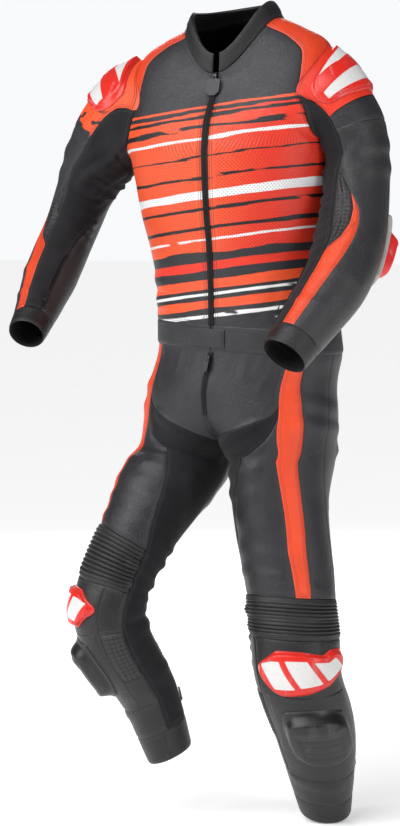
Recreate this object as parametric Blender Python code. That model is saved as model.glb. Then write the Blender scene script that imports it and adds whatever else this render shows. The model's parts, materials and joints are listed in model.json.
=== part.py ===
"""Two-piece motorcycle race suit, kept in the hollow form it has when it is worn.

The jacket, its sleeves and the trousers are lofted tubes: tables of sections give their
centres and half sizes, and splines run through the columns. Every cut piece is a patch of
one of these tubes, made into a leather wall, with a small gap to its neighbour at each seam.
Metres, +Z up, the chest faces -Y, and +X is the wearer's left. The origin lies between the
tops of the shoulders, where the wearer carries the suit.
"""

import math
from collections import namedtuple

import bmesh
import bpy
from mathutils import Matrix, Vector

# ---------------------------------------------------------------- driving sizes
WALL = 0.0020          # leather with its backing
COLLAR_WALL = 0.0045   # padded stand collar
SEAM_GAP = 0.0003      # clear distance between two pieces at a seam
REST_GAP = 0.0003      # clear distance under a piece that lies on another
RIM_SPLIT = Vector((0.31, 0.59, 0.74))   # the rims of two pieces at a seam are split the same way
WAIST_INSET = 0.0023   # the trouser waist sits this far inside the jacket's outer face
SLEEVE_CLEAR = 0.0060  # least distance of a sleeve's outside from the jacket's side

FRONT_COLUMNS = 7
BACK_COLUMNS = 10
FRONT_SHARE = 2.5      # how sharply the neck and the yoke dip towards the front middle
ARMHOLE_STEPS = 8      # rows of the torso between underarm and shoulder tip
TROUSER_COLUMNS = ((0, 0.27, 5), (0.27, 0.345, 1), (0.345, 0.5, 3), (0.5, 1, 5))  # waist: shares and columns
COLLAR_GAP = 0.012     # half the slit between the collar's ends, as a share of the turn
WAIST_SLIT = 0.002

KNEE_RIBS = 9
RIB_RISE = 0.0028
QUILT_RISE = 0.0012
QUILT_TOP, QUILT_END, SHIN_SEAM = 10.5, 12, 13     # stations of the leg

ZIP_HALF = 0.005       # half the width of a zip's tape that shows
ZIP_THICK = 0.0018
ZIP_TEETH = 0.0007
EYE_RADIUS = 0.00235   # middle of the wire of a slider's eye, at size 1
EYE_WIRE = 0.00075
PULL_BAR = 0.0007      # half the thickness of a pull tab and of its bar, at size 1
PULL_SAG = 0.0005      # the bar hangs this far below the eye's middle
PULL_LIFT = math.radians(4)   # a pull at rest stands off its zip by this angle
PULL_WINDOW = 0.0040
PULL_NECK = 0.0034

# ---------------------------------------------------------------- tables of sections
TorsoStation = namedtuple(
    "TorsoStation",
    "name x y z half_width front back box turn roll front_drop back_drop armhole",
)
TORSO = [
    TorsoStation("under_hem", 0.033, 0.000, -0.566, 0.170, 0.119, 0.122, 0.02, -13, -2.5, 0.000, 0.0, 0),
    TorsoStation("hem", 0.032, 0.000, -0.524, 0.171, 0.120, 0.121, 0.02, -13, -2.5, 0.000, 0.0, 0),
    TorsoStation("band_top", 0.030, 0.000, -0.482, 0.168, 0.119, 0.118, 0.02, -12, -2.2, 0.000, 0.0, 0),
    TorsoStation("waist", 0.025, 0.002, -0.418, 0.164, 0.119, 0.114, 0.02, -10, -1.2, 0.000, 0.0, 0),
    TorsoStation("ribs", 0.017, 0.002, -0.350, 0.165, 0.124, 0.116, 0.02, -6, 0.4, 0.000, 0.0, 0),
    TorsoStation("low_chest", 0.009, 0.000, -0.286, 0.171, 0.131, 0.121, 0.02, -3, 1.8, 0.000, 0.0, 0),
    TorsoStation("underarm", 0.003, 0.000, -0.201, 0.180, 0.135, 0.127, 0.03, -1, 1.0, 0.000, 0.0, 0),
    TorsoStation("low_arm", 0.000, 0.002, -0.167, 0.188, 0.133, 0.132, 0.03, 0, 3.2, 0.008, 0.0, 28),
    TorsoStation("mid_arm", -0.001, 0.006, -0.122, 0.189, 0.127, 0.134, 0.03, 0, 3.4, 0.022, 0.0, 37),
    TorsoStation("high_arm", -0.001, 0.010, -0.066, 0.184, 0.116, 0.132, 0.02, 0, 3.5, 0.052, 0.0, 40),
    TorsoStation("tip", -0.001, 0.014, -0.013, 0.166, 0.106, 0.120, 0.0, 0, 3.6, 0.082, -0.004, 0),
    TorsoStation("slope", -0.001, 0.014, 0.014, 0.124, 0.096, 0.104, 0.0, 0, 4.2, 0.088, -0.008, 0),
    TorsoStation("neck", -0.001, 0.010, 0.032, 0.085, 0.088, 0.086, 0.0, 0, 6.0, 0.088, -0.012, 0),
    TorsoStation("collar_fold", -0.001, 0.008, 0.046, 0.078, 0.084, 0.078, 0.0, 0, 6.4, 0.087, -0.010, 0),
    TorsoStation("collar_top", -0.001, 0.006, 0.060, 0.070, 0.080, 0.070, 0.0, 0, 6.4, 0.084, -0.004, 0),
]
HEM, BAND_TOP, UNDERARM, HIGH_ARM, TIP, NECK, COLLAR_TOP = 1, 2, 6, 9, 10, 12, 14

ArmStation = namedtuple("ArmStation", "name x y z half_width front back twist")
RIGHT_ARM = [
    ArmStation("armhole", 0.150, 0.008, -0.100, 0.072, 0.070, 0.070, 0),
    ArmStation("cap", 0.211, 0.010, -0.108, 0.073, 0.069, 0.069, 0),
    ArmStation("upper_seam", 0.243, 0.014, -0.166, 0.065, 0.064, 0.065, 0),
    ArmStation("upper_arm", 0.270, 0.022, -0.213, 0.060, 0.060, 0.061, -4),
    ArmStation("above_elbow", 0.297, 0.028, -0.262, 0.051, 0.052, 0.053, -8),
    ArmStation("elbow", 0.316, 0.024, -0.312, 0.048, 0.049, 0.052, -12),
    ArmStation("below_elbow", 0.323, -0.010, -0.360, 0.048, 0.048, 0.05, -12),
    ArmStation("forearm", 0.32, -0.060, -0.404, 0.047, 0.046, 0.047, -12),
    ArmStation("low_forearm", 0.317, -0.108, -0.445, 0.041, 0.041, 0.041, -12),
    ArmStation("wrist", 0.313, -0.150, -0.479, 0.035, 0.035, 0.035, -12),
    ArmStation("cuff", 0.311, -0.178, -0.500, 0.032, 0.031, 0.031, -12),
]
LEFT_ARM = [
    ArmStation("armhole", 0.150, 0.006, -0.098, 0.072, 0.070, 0.070, 0),
    ArmStation("cap", 0.192, 0.003, -0.108, 0.062, 0.069, 0.069, 0),
    ArmStation("upper_seam", 0.218, 0.000, -0.153, 0.056, 0.064, 0.065, 4),
    ArmStation("upper_arm", 0.227, -0.004, -0.204, 0.054, 0.061, 0.062, 8),
    ArmStation("above_elbow", 0.232, -0.022, -0.258, 0.053, 0.059, 0.062, 10),
    ArmStation("elbow", 0.236, -0.052, -0.314, 0.056, 0.058, 0.062, 12),
    ArmStation("below_elbow", 0.236, -0.090, -0.366, 0.058, 0.057, 0.058, 14),
    ArmStation("forearm", 0.229, -0.131, -0.412, 0.058, 0.055, 0.055, 14),
    ArmStation("low_forearm", 0.211, -0.174, -0.457, 0.053, 0.049, 0.049, 14),
    ArmStation("wrist", 0.192, -0.214, -0.498, 0.045, 0.043, 0.043, 14),
    ArmStation("cuff", 0.181, -0.237, -0.523, 0.04, 0.039, 0.039, 14),
]
ARM_SEAM, UNDER_END, ELBOW, WRIST, CUFF = 2, 3, 5, 9, 10   # the underside is straight up to UNDER_END
ARMPIT_SPREAD = {-1: 0.0, 1: 0.08}     # turn by which the ring's points run ahead of the armhole's

# Leg stations lie in the frame of the hips: x is the distance outwards from the middle. The
# plane of a ring is raised in front by its tilt and turned outwards by its yaw.
LegStation = namedtuple("LegStation", "name x y z half_width front back tilt yaw")
HIPS = [
    LegStation("waist_top", 0.000, 0.000, -0.482, 0.168, 0.119, 0.118, 0, 0),
    LegStation("hem_level", 0.000, 0.000, -0.524, 0.170, 0.119, 0.120, 0, 0),
    LegStation("high_hip", 0.014, -0.002, -0.575, 0.160, 0.118, 0.124, 0, 0),
    LegStation("hip", 0.048, -0.008, -0.635, 0.132, 0.112, 0.126, 0, 0),
    LegStation("crotch", 0.0905, -0.020, -0.700, 0.0885, 0.100, 0.116, 0, 0),
]
HIGH_THIGH = LegStation("high_thigh", 0.103, -0.050, -0.759, 0.085, 0.086, 0.094, 0, 0)
RIGHT_LEG = HIPS + [
    LegStation("high_thigh", 0.102, -0.066, -0.750, 0.082, 0.084, 0.092, 20, 12),
    LegStation("mid_thigh", 0.112, -0.108, -0.795, 0.076, 0.072, 0.076, 33, 22),
    LegStation("low_thigh", 0.118, -0.134, -0.829, 0.072, 0.066, 0.068, 34, 32),
    LegStation("ribs_top", 0.123, -0.153, -0.863, 0.070, 0.064, 0.062, 30, 38),
    LegStation("ribs_end", 0.131, -0.190, -0.932, 0.068, 0.066, 0.056, 12, 44),
    LegStation("knee", 0.132, -0.202, -0.978, 0.066, 0.068, 0.056, -6, 48),
    LegStation("below_knee", 0.124, -0.194, -1.029, 0.064, 0.064, 0.058, -18, 48),
    LegStation("calf", 0.11, -0.168, -1.082, 0.061, 0.056, 0.056, -25, 48),
    LegStation("mid_calf", 0.097, -0.141, -1.130, 0.055, 0.051, 0.051, -27, 48),
    LegStation("low_calf", 0.086, -0.124, -1.182, 0.050, 0.047, 0.046, -27, 48),
    LegStation("leg_hem", 0.077, -0.110, -1.232, 0.043, 0.041, 0.042, -26, 48),
]
LEFT_LEG = HIPS + [
    LegStation("high_thigh", 0.099, -0.034, -0.768, 0.084, 0.088, 0.096, 8, 10),
    LegStation("mid_thigh", 0.113, -0.044, -0.836, 0.081, 0.078, 0.084, 10, 18),
    LegStation("low_thigh", 0.126, -0.050, -0.888, 0.079, 0.073, 0.076, 9, 24),
    LegStation("ribs_top", 0.137, -0.055, -0.934, 0.076, 0.070, 0.070, 8, 28),
    LegStation("ribs_end", 0.147, -0.058, -1.000, 0.076, 0.070, 0.066, 3, 32),
    LegStation("knee", 0.151, -0.056, -1.063, 0.075, 0.072, 0.066, -8, 34),
    LegStation("below_knee", 0.157, -0.035, -1.120, 0.075, 0.068, 0.068, -17, 34),
    LegStation("calf", 0.158, -0.013, -1.168, 0.071, 0.063, 0.066, -22, 34),
    LegStation("mid_calf", 0.155, 0.010, -1.232, 0.061, 0.054, 0.057, -22, 34),
    LegStation("low_calf", 0.151, 0.028, -1.284, 0.052, 0.047, 0.049, -21, 34),
    LegStation("leg_hem", 0.147, 0.042, -1.322, 0.045, 0.042, 0.043, -20, 34),
]
CROTCH, RIBS_TOP, RIBS_END, LOW_CALF, LEG_HEM = 4, 8, 9, 14, 15

HIPS_AT = Vector((0.020, -0.004, 0.0))
HIPS_TURN = math.radians(-13)
HIPS_ROLL = math.radians(-2.5)

# ---------------------------------------------------------------- tables of seams
# A seam is a list of (station number, share of the turn round the tube).
YOKE_SEAM = [(9, 0.1395), (9.5, 0.150), (10, 0.163), (11, 0.172), (12, 0.168)]
STRETCH_EDGE = [(0, 0.1875), (1, 0.180), (2, 0.215), (3, 0.215), (4, 0.230), (5, 0.215), (6, 0.175),
                (7, 0.175), (8, 0.170), (9, 0.170)]
STRETCH_BACK = [(0, 0.625), (2, 0.600), (4, 0.520), (5, 0.440), (6, 0.365), (7, 0.325), (9, 0.320)]
ELBOW_QUILT = [(3.5, 0.000), (4, 0.045), (4.5, 0.085), (5, 0.105), (5.5, 0.090), (6, 0.050), (6.5, 0.000)]
STRIPE_OUTER = [(4.5, 0.1375), (5, 0.085), (5.5, 0.065), (6, 0.065), (7, 0.080), (8, 0.085), (9, 0.088)]
TROUSER_V = [(0, 0.27), (2, 0.27), (2.6, 0.275), (2.9, 0.245), (3.2, 0.165), (3.5, 0.070), (3.75, 0.0)]
GUSSET_EDGE = [(2.6, 0.275), (2.9, 0.278), (3.2, 0.268), (3.5, 0.255), (3.75, 0.238), (4, 0.225), (4.5, 0.180),
               (5, 0.140), (6, 0.080), (7, 0.030), (8, -0.010), (9, -0.030), (14, -0.03)]
GUSSET_BACK = [(4, 0.0), (5, -0.09), (6, -0.14), (7, -0.17), (8, -0.19), (14, -0.22)]
STRIPE_FRONT = [(0, 0.27), (2, 0.27), (2.6, 0.275), (2.9, 0.278), (3.2, 0.280), (3.5, 0.295), (4, 0.340),
                (5.5, 0.315), (6.5, 0.290), (8, 0.280)]
STRIPE_BACK = [(0, 0.345), (2, 0.345), (3, 0.372), (4, 0.405), (5.5, 0.380), (6.5, 0.355), (8, 0.335)]
KNEE_BACK = [(0, 0.50), (14, 0.50)]


# ---------------------------------------------------------------- splines and surfaces
def spline(values, v):
    """Catmull-Rom curve through a column of a table, at station number v."""
    last = len(values) - 1
    i = min(max(math.floor(v), 0), last - 1)
    t = v - i
    here, there = values[i], values[i + 1]
    before = values[i - 1] if i > 0 else 2 * here - there
    after = values[i + 2] if i + 2 <= last else 2 * there - here
    return 0.5 * (
        2 * here
        + (there - before) * t
        + (2 * before - 5 * here + 4 * there - after) * t * t
        + (3 * here - before - 3 * there + after) * t * t * t
    )


def seam(table, v):
    """Straight runs between the rows of a seam's table."""
    if v <= table[0][0]:
        return table[0][1]
    for (v0, a0), (v1, a1) in zip(table, table[1:]):
        if v <= v1:
            return a0 + (a1 - a0) * (v - v0) / (v1 - v0)
    return table[-1][1]


def smooth(t):
    t = min(max(t, 0.0), 1.0)
    return t * t * (3 - 2 * t)


def columns_of(stations):
    return {name: [getattr(s, name) for s in stations] for name in stations[0]._fields[1:]}


class Surface:
    """A tube. at(u, v) is a point: u runs once round from 0 to 1, v along the stations."""

    facing = 1

    def normal(self, u, v):
        du, dv = 0.002, 0.02
        across = self.at(u + du, v) - self.at(u - du, v)
        along = self.at(u, v + dv) - self.at(u, v - dv)
        return (across.cross(along) * self.facing).normalized()


class Torso(Surface):
    """u is 0 at the front middle, 0.25 at the wearer's left and 0.5 at the back middle."""

    def __init__(self):
        self.c = columns_of(TORSO)

    @staticmethod
    def outline(angle, box):
        """Place on the ring at this angle, sideways and ahead, as shares of its half sizes."""
        side = (math.sin(angle) + box * math.sin(3 * angle)) / (1 - box)
        ahead = (math.cos(angle) - box * math.cos(3 * angle)) / (1 - box)
        return side, ahead

    def at(self, u, v):
        get = {name: spline(values, v) for name, values in self.c.items() if name != "armhole"}
        angle = 2 * math.pi * u
        across, ahead = self.outline(angle, get["box"])
        side = get["half_width"] * across
        depth = get["front"] if ahead > 0 else get["back"]
        drop = get["front_drop"] if ahead > 0 else get["back_drop"]
        turn = Matrix.Rotation(math.radians(get["turn"]), 3, "Z")
        flat = turn @ Vector((side, -depth * ahead, 0))
        lift = side * math.tan(math.radians(get["roll"])) - drop * abs(math.cos(angle)) ** FRONT_SHARE
        return flat + Vector((get["x"], get["y"], get["z"] + lift))

    def station_at(self, z):
        """Station whose ring has this height at the sides."""
        heights = self.c["z"]
        for i in range(len(heights) - 1):
            if z <= heights[i + 1]:
                return max(i + (z - heights[i]) / (heights[i + 1] - heights[i]), 0.0)
        return len(heights) - 1

    def pushed_out(self, p, clear):
        """The point, moved straight outwards where it is nearer than clear to the torso's skin."""
        v = self.station_at(p.z - p.x * math.tan(math.radians(3)))
        get = {name: spline(values, v) for name, values in self.c.items()}
        middle = Vector((get["x"], get["y"], p.z))
        local = Matrix.Rotation(-math.radians(get["turn"]), 3, "Z") @ (p - middle)
        depth = get["front"] if local.y < 0 else get["back"]
        across, ahead = local.x / get["half_width"], -local.y / depth
        reach = math.hypot(across, ahead)
        least = math.hypot(*self.outline(math.atan2(across, ahead), get["box"])) + clear / get["half_width"]
        return p if reach >= least or v > TIP else middle + (p - middle) * (least / reach)

    def armhole(self, v):
        """Half the angle that the armhole takes out of the ring, as a share of the turn."""
        return max(spline(self.c["armhole"], v), 0.0) / 360 if UNDERARM < v < TIP else 0.0


class Arm(Surface):
    """u is 0 along the top and outside, 0.25 in front and 0.5 inside."""

    def __init__(self, side, stations, torso):
        self.side, self.torso, self.facing = side, torso, side
        self.c = columns_of(stations)
        steps = 2 * ARMHOLE_STEPS
        self.loop = [self.torso.at(*self.armhole_place(k)) for k in range(steps)]
        self.middle = sum(self.loop, Vector()) / steps
        self.loop_normals = []
        for k, point in enumerate(self.loop):
            across = self.torso.normal(*self.armhole_place(k))
            self.loop_normals.append(across.lerp((point - self.middle).normalized(), self.inside(k / steps) ** 1.5).normalized())

    def armhole_place(self, k):
        """(u, v) on the torso of vertex k of the armhole, from the shoulder tip by the front."""
        down = k if k <= ARMHOLE_STEPS else 2 * ARMHOLE_STEPS - k
        v = TIP - (TIP - UNDERARM) * down / ARMHOLE_STEPS
        turn = self.torso.armhole(v)
        return self.side * (0.25 - turn if k <= ARMHOLE_STEPS else 0.25 + turn), v

    @staticmethod
    def inside(u):
        """0 along the outside of the arm and 1 along its inside."""
        return 0.5 - 0.5 * math.cos(2 * math.pi * u)

    def on_loop(self, u, loop):
        steps = len(loop)
        k = (u % 1) * steps
        i = math.floor(k + 1e-9)
        return loop[i % steps].lerp(loop[(i + 1) % steps], max(k - i, 0.0))

    def centre(self, v):
        return Vector((self.side * spline(self.c["x"], v), spline(self.c["y"], v), spline(self.c["z"], v)))

    def ring(self, u, v):
        along = (self.centre(v + 0.2) - self.centre(v - 0.2)).normalized()
        outer = Vector((self.side * 0.8, 0.0, 0.6))
        outer = (outer - outer.dot(along) * along).normalized()
        front = outer.cross(along) * -self.side
        angle = 2 * math.pi * u + math.radians(spline(self.c["twist"], v))
        depth = spline(self.c["front"] if math.sin(angle) > 0 else self.c["back"], v)
        across = outer * (spline(self.c["half_width"], v) * math.cos(angle))
        return self.centre(v) + across + front * (depth * math.sin(angle))

    def spread(self, u, v):
        """Place on the ring v that belongs to place u of the armhole."""
        return u + ARMPIT_SPREAD[self.side] * math.sin(4 * math.pi * u) * (1 - smooth(v / 4))

    def at(self, u, v):
        if v >= ELBOW:
            return self.ring(u, v)
        start = self.on_loop(u, self.loop)
        p = start.lerp(self.ring(self.spread(u, v), v), smooth(v / ARM_SEAM))
        if v < UNDER_END:
            under = start.lerp(self.ring(self.spread(u, UNDER_END), UNDER_END), v / UNDER_END)
            p = p.lerp(under, self.inside(u))
        return p.lerp(self.torso.pushed_out(p, SLEEVE_CLEAR), smooth(2 * v) * smooth(2 * self.inside(u)))

    def normal(self, u, v):
        """The surface's own normal, but in the armpit it points away from the middle of the arm."""
        own = super().normal(u, max(v, 0.12))
        if v >= ARM_SEAM + 0.5:
            return own
        middle = self.middle.lerp(self.centre(UNDER_END), smooth(v / 1.5))
        away = (self.at(u, v) - middle).normalized()
        pit = smooth(2 * self.inside(u) ** 1.5) * (1 - smooth((v - 1) / 1.5))
        own = own.lerp(away, pit).normalized()
        return self.on_loop(u, self.loop_normals).lerp(own, smooth(v / 0.6)).normalized()


class Leg(Surface):
    """Half of the trousers. Above the crotch u runs from the front middle (0) round the hip to the
    back middle (1); below it, from the inseam (0) by the front, the outside and the back (1)."""

    def __init__(self, side, stations, torso):
        self.side, self.torso, self.facing = side, torso, -side
        self.hips, self.below = columns_of(HIPS + [HIGH_THIGH]), columns_of(stations)

    def to_world(self, p):
        """From the frame of the hips, x outwards on this side, to the suit's frame."""
        x = self.side * p.x
        tilted = Vector((x, p.y, p.z + x * math.tan(HIPS_ROLL)))
        return Matrix.Rotation(HIPS_TURN, 3, "Z") @ tilted + HIPS_AT

    def ring(self, u, v):
        columns = self.hips if v < CROTCH else self.below
        get = {name: spline(values, v) for name, values in columns.items()}
        turn = Matrix.Rotation(math.radians(get["yaw"]), 3, "Z") @ Matrix.Rotation(-math.radians(get["tilt"]), 3, "X")
        width, x = get["half_width"], get["x"]
        cut = math.acos(min(x / width, 1.0)) if v < CROTCH else 0.0
        angle = cut + (2 * math.pi - 2 * cut) * u
        depth = get["front"] if math.sin(angle) > 0 else get["back"]
        across = turn @ Vector((-width * math.cos(angle), -depth * math.sin(angle), 0))
        return Vector((x, get["y"], get["z"])) + across

    def at(self, u, v):
        share = smooth((v - 1) / 1.5)
        if share >= 1:
            return self.to_world(self.ring(u, v))
        place = (self.side * u / 2, BAND_TOP - v)
        waist = self.torso.at(*place) - self.torso.normal(*place) * WAIST_INSET
        return waist if share <= 0 else waist.lerp(self.to_world(self.ring(u, v)), share)

    def normal(self, u, v):
        if v < CROTCH and (u <= 0 or u >= 1):  # on the middle seam both halves face the same way
            inside = super().normal(0.01 if u <= 0 else 0.99, v)
            middle = Matrix.Rotation(HIPS_TURN, 3, "Z") @ Vector((1.0, 0.0, 0.0))
            return (inside - inside.dot(middle) * middle).normalized()
        return super().normal(u, v)


# ---------------------------------------------------------------- grids and skins
def steps_between(low, high, count):
    return [low + (high - low) * i / count for i in range(count + 1)]


TORSO_ROWS = (0, 1, 2, 3, 4, 5, 6, 6.5, 7, 7.5, 8, 8.5, 9, 9.5, 10, 11, 12, 13, 14)
ARM_ROWS = (0, 0.7, 1.1, 1.5, 2, 3, 3.5, 4, 4.5, 5, 5.5, 6, 6.5, 7, 8, 9, 10)
LEG_ROWS = (0, 1, 1.5, 2, 2.3, 2.6, 2.9, 3.2, 3.5, 3.75, 4, 4.5, 5, 6, 7, 8, 9, 9.5, 10, 10.5, 11, 11.5, 12,
            13, 14, 15)


class Grid:
    """Points and normals of one patch, in rows along the tube and columns across it."""

    def __init__(self, points, normals, rows):
        self.points, self.normals, self.rows = points, normals, rows

    @classmethod
    def between(cls, surface, low, high, rows, first, last, columns):
        """The patch of a tube between the seams low(v) and high(v), from row first to row last."""
        rows = [v for v in rows if first <= v <= last]
        places = [[(u, v) for u in steps_between(low(v), high(v), columns)] for v in rows]
        points = [[surface.at(u, v) for u, v in line] for line in places]
        normals = [[surface.normal(u, v) for u, v in line] for line in places]
        return cls(points, normals, rows)

    @classmethod
    def joined(cls, *grids):
        """Neighbouring grids with the same rows, side by side."""
        points = [list(line) for line in grids[0].points]
        normals = [list(line) for line in grids[0].normals]
        for grid in grids[1:]:
            for j in range(len(points)):
                points[j] += grid.points[j][1:]
                normals[j] += grid.normals[j][1:]
        return cls(points, normals, grids[0].rows)

    def at(self, i, v):
        """Point and normal on the facets: column number i and station v need not be whole."""
        j = max(n for n, row in enumerate(self.rows[:-1]) if row <= v + 1e-9)
        t = (v - self.rows[j]) / (self.rows[j + 1] - self.rows[j])
        k = min(int(i + 1e-9), len(self.points[0]) - 2)
        s = i - k
        mixed = []
        for table in (self.points, self.normals):
            start, end = table[j][k], table[j + 1][k + 1]
            corner = table[j][k + 1] if s > t else table[j + 1][k]
            first, second = (s, t) if s > t else (t, s)
            mixed.append(start + (corner - start) * first + (end - corner) * second)
        return mixed[0], mixed[1].normalized()

    def resampled(self, place, across, along):
        """A grid on this one's facets. place(s, t) gives column and station for s and t in 0 to 1."""
        rows = steps_between(0, 1, along)
        found = [[self.at(*place(s, t)) for s in steps_between(0, 1, across)] for t in rows]
        return Grid([[p for p, n in line] for line in found], [[n for p, n in line] for line in found], rows)


class Skin:
    """An open sheet of points, normals and quads, put together from grids that share edges."""

    def __init__(self, *grids):
        self.points, self.normals, self.places, self.quads, self.known = [], [], [], [], {}
        for grid in grids:
            self.add(grid)

    def vertex(self, point, normal, place):
        key = tuple(round(c * 1e5) for c in point)
        if key not in self.known:
            self.known[key] = len(self.points)
            self.points.append(point)
            self.normals.append(normal)
            self.places.append(place)
        return self.known[key]

    def add(self, grid):
        columns = len(grid.points[0]) - 1
        lines = [
            [self.vertex(p, n, (i / columns, v)) for i, (p, n) in enumerate(zip(points, normals))]
            for points, normals, v in zip(grid.points, grid.normals, grid.rows)
        ]
        quads = []
        for below, above in zip(lines, lines[1:]):
            for i in range(columns):
                quad = [below[i], below[i + 1], above[i + 1], above[i]]
                kept = [q for n, q in enumerate(quad) if q != quad[n - 1]]
                if len(kept) > 2:
                    quads.append(kept)
        self.quads += quads if self.faces_outwards(quads) else [turned(quad) for quad in quads]

    def faces_outwards(self, quads):
        total = 0.0
        for quad in quads:
            a, b, c = (self.points[i] for i in quad[:3])
            total += (b - a).cross(c - a).dot(self.normals[quad[0]])
        return total > 0

    def rim(self):
        """Directed edges that belong to one face only; the face lies on their left."""
        edges = [edge for quad in self.quads for edge in zip(quad, quad[1:] + quad[:1])]
        known = set(edges)
        return [(a, b) for a, b in edges if (b, a) not in known]

    def trim(self, gap):
        """Moves the points of the rim inwards, so that half the seam's gap is left outside them."""
        inward = {}
        for a, b in self.rim():
            edge = self.points[b] - self.points[a]
            for i in (a, b):
                inward.setdefault(i, []).append(self.normals[i].cross(edge).normalized())
        for i, ways in inward.items():
            total = sum(ways, Vector())
            mitre = max(total.dot(ways[0]), 0.2)
            self.points[i] = self.points[i] + total * (gap / mitre)


def turned(quad):
    """The same face seen from its other side, still split along the same diagonal."""
    return quad[:1] + quad[:0:-1]


def add_mesh(name, vertices, faces, material):
    mesh = bpy.data.meshes.new(name)
    mesh.from_pydata([tuple(v) for v in vertices], [], faces)
    mesh.validate()
    obj = bpy.data.objects.new(name, mesh)
    SUIT.objects.link(obj)
    mesh.materials.append(material)
    mesh.set_sharp_from_angle(angle=math.radians(50))
    return obj


def wall(name, skin, material, inner=-WALL, outer=0.0, relief=None, gap=SEAM_GAP / 2):
    """A closed solid between two offsets of a skin; relief(place) raises its outer points."""
    if gap:
        skin.trim(gap)
    count = len(skin.points)
    lower = [p + n * inner for p, n in zip(skin.points, skin.normals)]
    raised = [relief(place) if relief else 0.0 for place in skin.places]
    upper = [p + n * (outer + up) for p, n, up in zip(skin.points, skin.normals, raised)]
    faces = [[i + count for i in quad] for quad in skin.quads]
    faces += [turned(quad) for quad in skin.quads]
    for a, b in skin.rim():
        leans = (skin.points[b] - skin.points[a]).dot(RIM_SPLIT) > 0
        faces.append([a, b, b + count, a + count] if leans else [b, b + count, a + count, a])
    return add_mesh(name, lower + upper, faces, material)


# ---------------------------------------------------------------- materials
def leather(name, colour, roughness=0.5, metallic=0.0):
    material = bpy.data.materials.new(name)
    material.use_nodes = True
    shader = material.node_tree.nodes["Principled BSDF"]
    shader.inputs["Base Color"].default_value = (*colour, 1.0)
    shader.inputs["Roughness"].default_value = roughness
    shader.inputs["Metallic"].default_value = metallic
    return material


# ---------------------------------------------------------------- the jacket's body
def share(table):
    return lambda v: seam(table, v)


def fixed(value):
    return lambda v: value


def armhole_edge(side, behind):
    """The armhole's edge in front (behind = -1) or at the back (behind = 1)."""
    return lambda v: side * (0.25 + behind * torso.armhole(v))


def side_seam(side, behind):
    """Edge of the front or of the back: at the side, the armhole and, above it, the yoke."""

    def edge(v):
        width = torso.armhole(v)
        if v >= HIGH_ARM:
            width = max(0.25 - seam(YOKE_SEAM, v), width)
        return side * (0.25 + behind * width)

    return edge


def zip_edge(side):
    """The front ends at the zip's tape, which has one width all the way up."""
    return lambda v: side * math.asin(ZIP_HALF / spline(torso.c["half_width"], v)) / (2 * math.pi)


def torso_grid(low, high, first, last, columns):
    return Grid.between(torso, low, high, TORSO_ROWS, first, last, columns)


def make_jacket_body():
    for side, tag in SIDES:
        front = torso_grid(zip_edge(side), side_seam(side, -1), BAND_TOP, NECK, FRONT_COLUMNS)
        wall(f"front_{tag}", Skin(front), FRONT)
        ahead = torso_grid(side_seam(side, -1), armhole_edge(side, -1), HIGH_ARM, NECK, 3)
        behind = torso_grid(armhole_edge(side, 1), side_seam(side, 1), HIGH_ARM, NECK, 3)
        wall(f"yoke_{tag}", Skin(ahead, behind), YOKE)
    back = torso_grid(side_seam(1, 1), lambda v: 1 + side_seam(-1, 1)(v), BAND_TOP, NECK, BACK_COLUMNS)
    wall("back", Skin(back), BACK)
    yoke = YOKE_SEAM[-1][1]
    stops = ((COLLAR_GAP, yoke, FRONT_COLUMNS), (yoke, 0.25, 3), (0.25, 0.5 - yoke, 3))
    ring = [torso_grid(fixed(side * low), fixed(side * high), NECK, COLLAR_TOP, columns)
            for side, _ in SIDES for low, high, columns in stops]
    ring.append(torso_grid(fixed(0.5 - yoke), fixed(0.5 + yoke), NECK, COLLAR_TOP, BACK_COLUMNS))
    wall("collar", Skin(*ring), COLLAR, inner=-COLLAR_WALL / 2, outer=COLLAR_WALL / 2)


def make_waistband():
    """The hem band's columns are those of the trousers inside it; a tab laps over its ends."""
    band = []
    for side, start in ((1, 0), (-1, 1)):
        for low, high, columns in TROUSER_COLUMNS:
            first, last = (start + side * max(place / 2, WAIST_SLIT) for place in (low, high))
            band.append(torso_grid(fixed(last), fixed(first), HEM, BAND_TOP, columns))
    wall("waistband", Skin(*band), WAISTBAND)
    tab = Grid.joined(
        torso_grid(fixed(-0.054), fixed(0), HEM, BAND_TOP, 2), torso_grid(fixed(0), fixed(0.027), HEM, BAND_TOP, 1)
    )
    pad("waist_tab", tab, WAISTBAND, (0.1, 0.4, 1, 2, 2.6, 2.9), (1.12, 1.3, 1.7, 1.88), corner=0.5, base=0.0022)


# ---------------------------------------------------------------- pieces that lie on a panel
def pad(name, panel, material, columns, rows, corner=0.45, base=0.002, height=0.0, lift=REST_GAP):
    """A pad made from the points of the panel under it, moved out. The first and last of its columns
    and rows are drawn in towards the corners, and its top rises within two points of the edge."""

    def drawn_in(ends, here, across):
        """Place of a line's end, drawn in towards the next line as the corner is neared."""
        edge, following = ends
        return edge + (following - edge) * corner * abs(across) ** 3

    last_i, last_j = len(columns) - 1, len(rows) - 1

    def place(s, t):
        a, b = round(s * last_i), round(t * last_j)
        i, v = columns[a], rows[b]
        if b in (0, last_j):
            v = drawn_in((rows[b], rows[1 if b == 0 else last_j - 1]), v, 2 * a / last_i - 1)
        if a in (0, last_i):
            i = drawn_in((columns[a], columns[1 if a == 0 else last_i - 1]), i, 2 * b / last_j - 1)
        return i, v

    def dome(at):
        a, b = round(at[0] * last_i), round(at[1] * last_j)
        inside = min(a, last_i - a, b, last_j - b)
        return height * (0.0, 0.72, 0.93, 1.0)[min(inside, 3)]

    skin = Skin(panel.resampled(place, last_i, last_j))
    wall(name, skin, material, inner=lift, outer=lift + base, relief=dome, gap=0)


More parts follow.
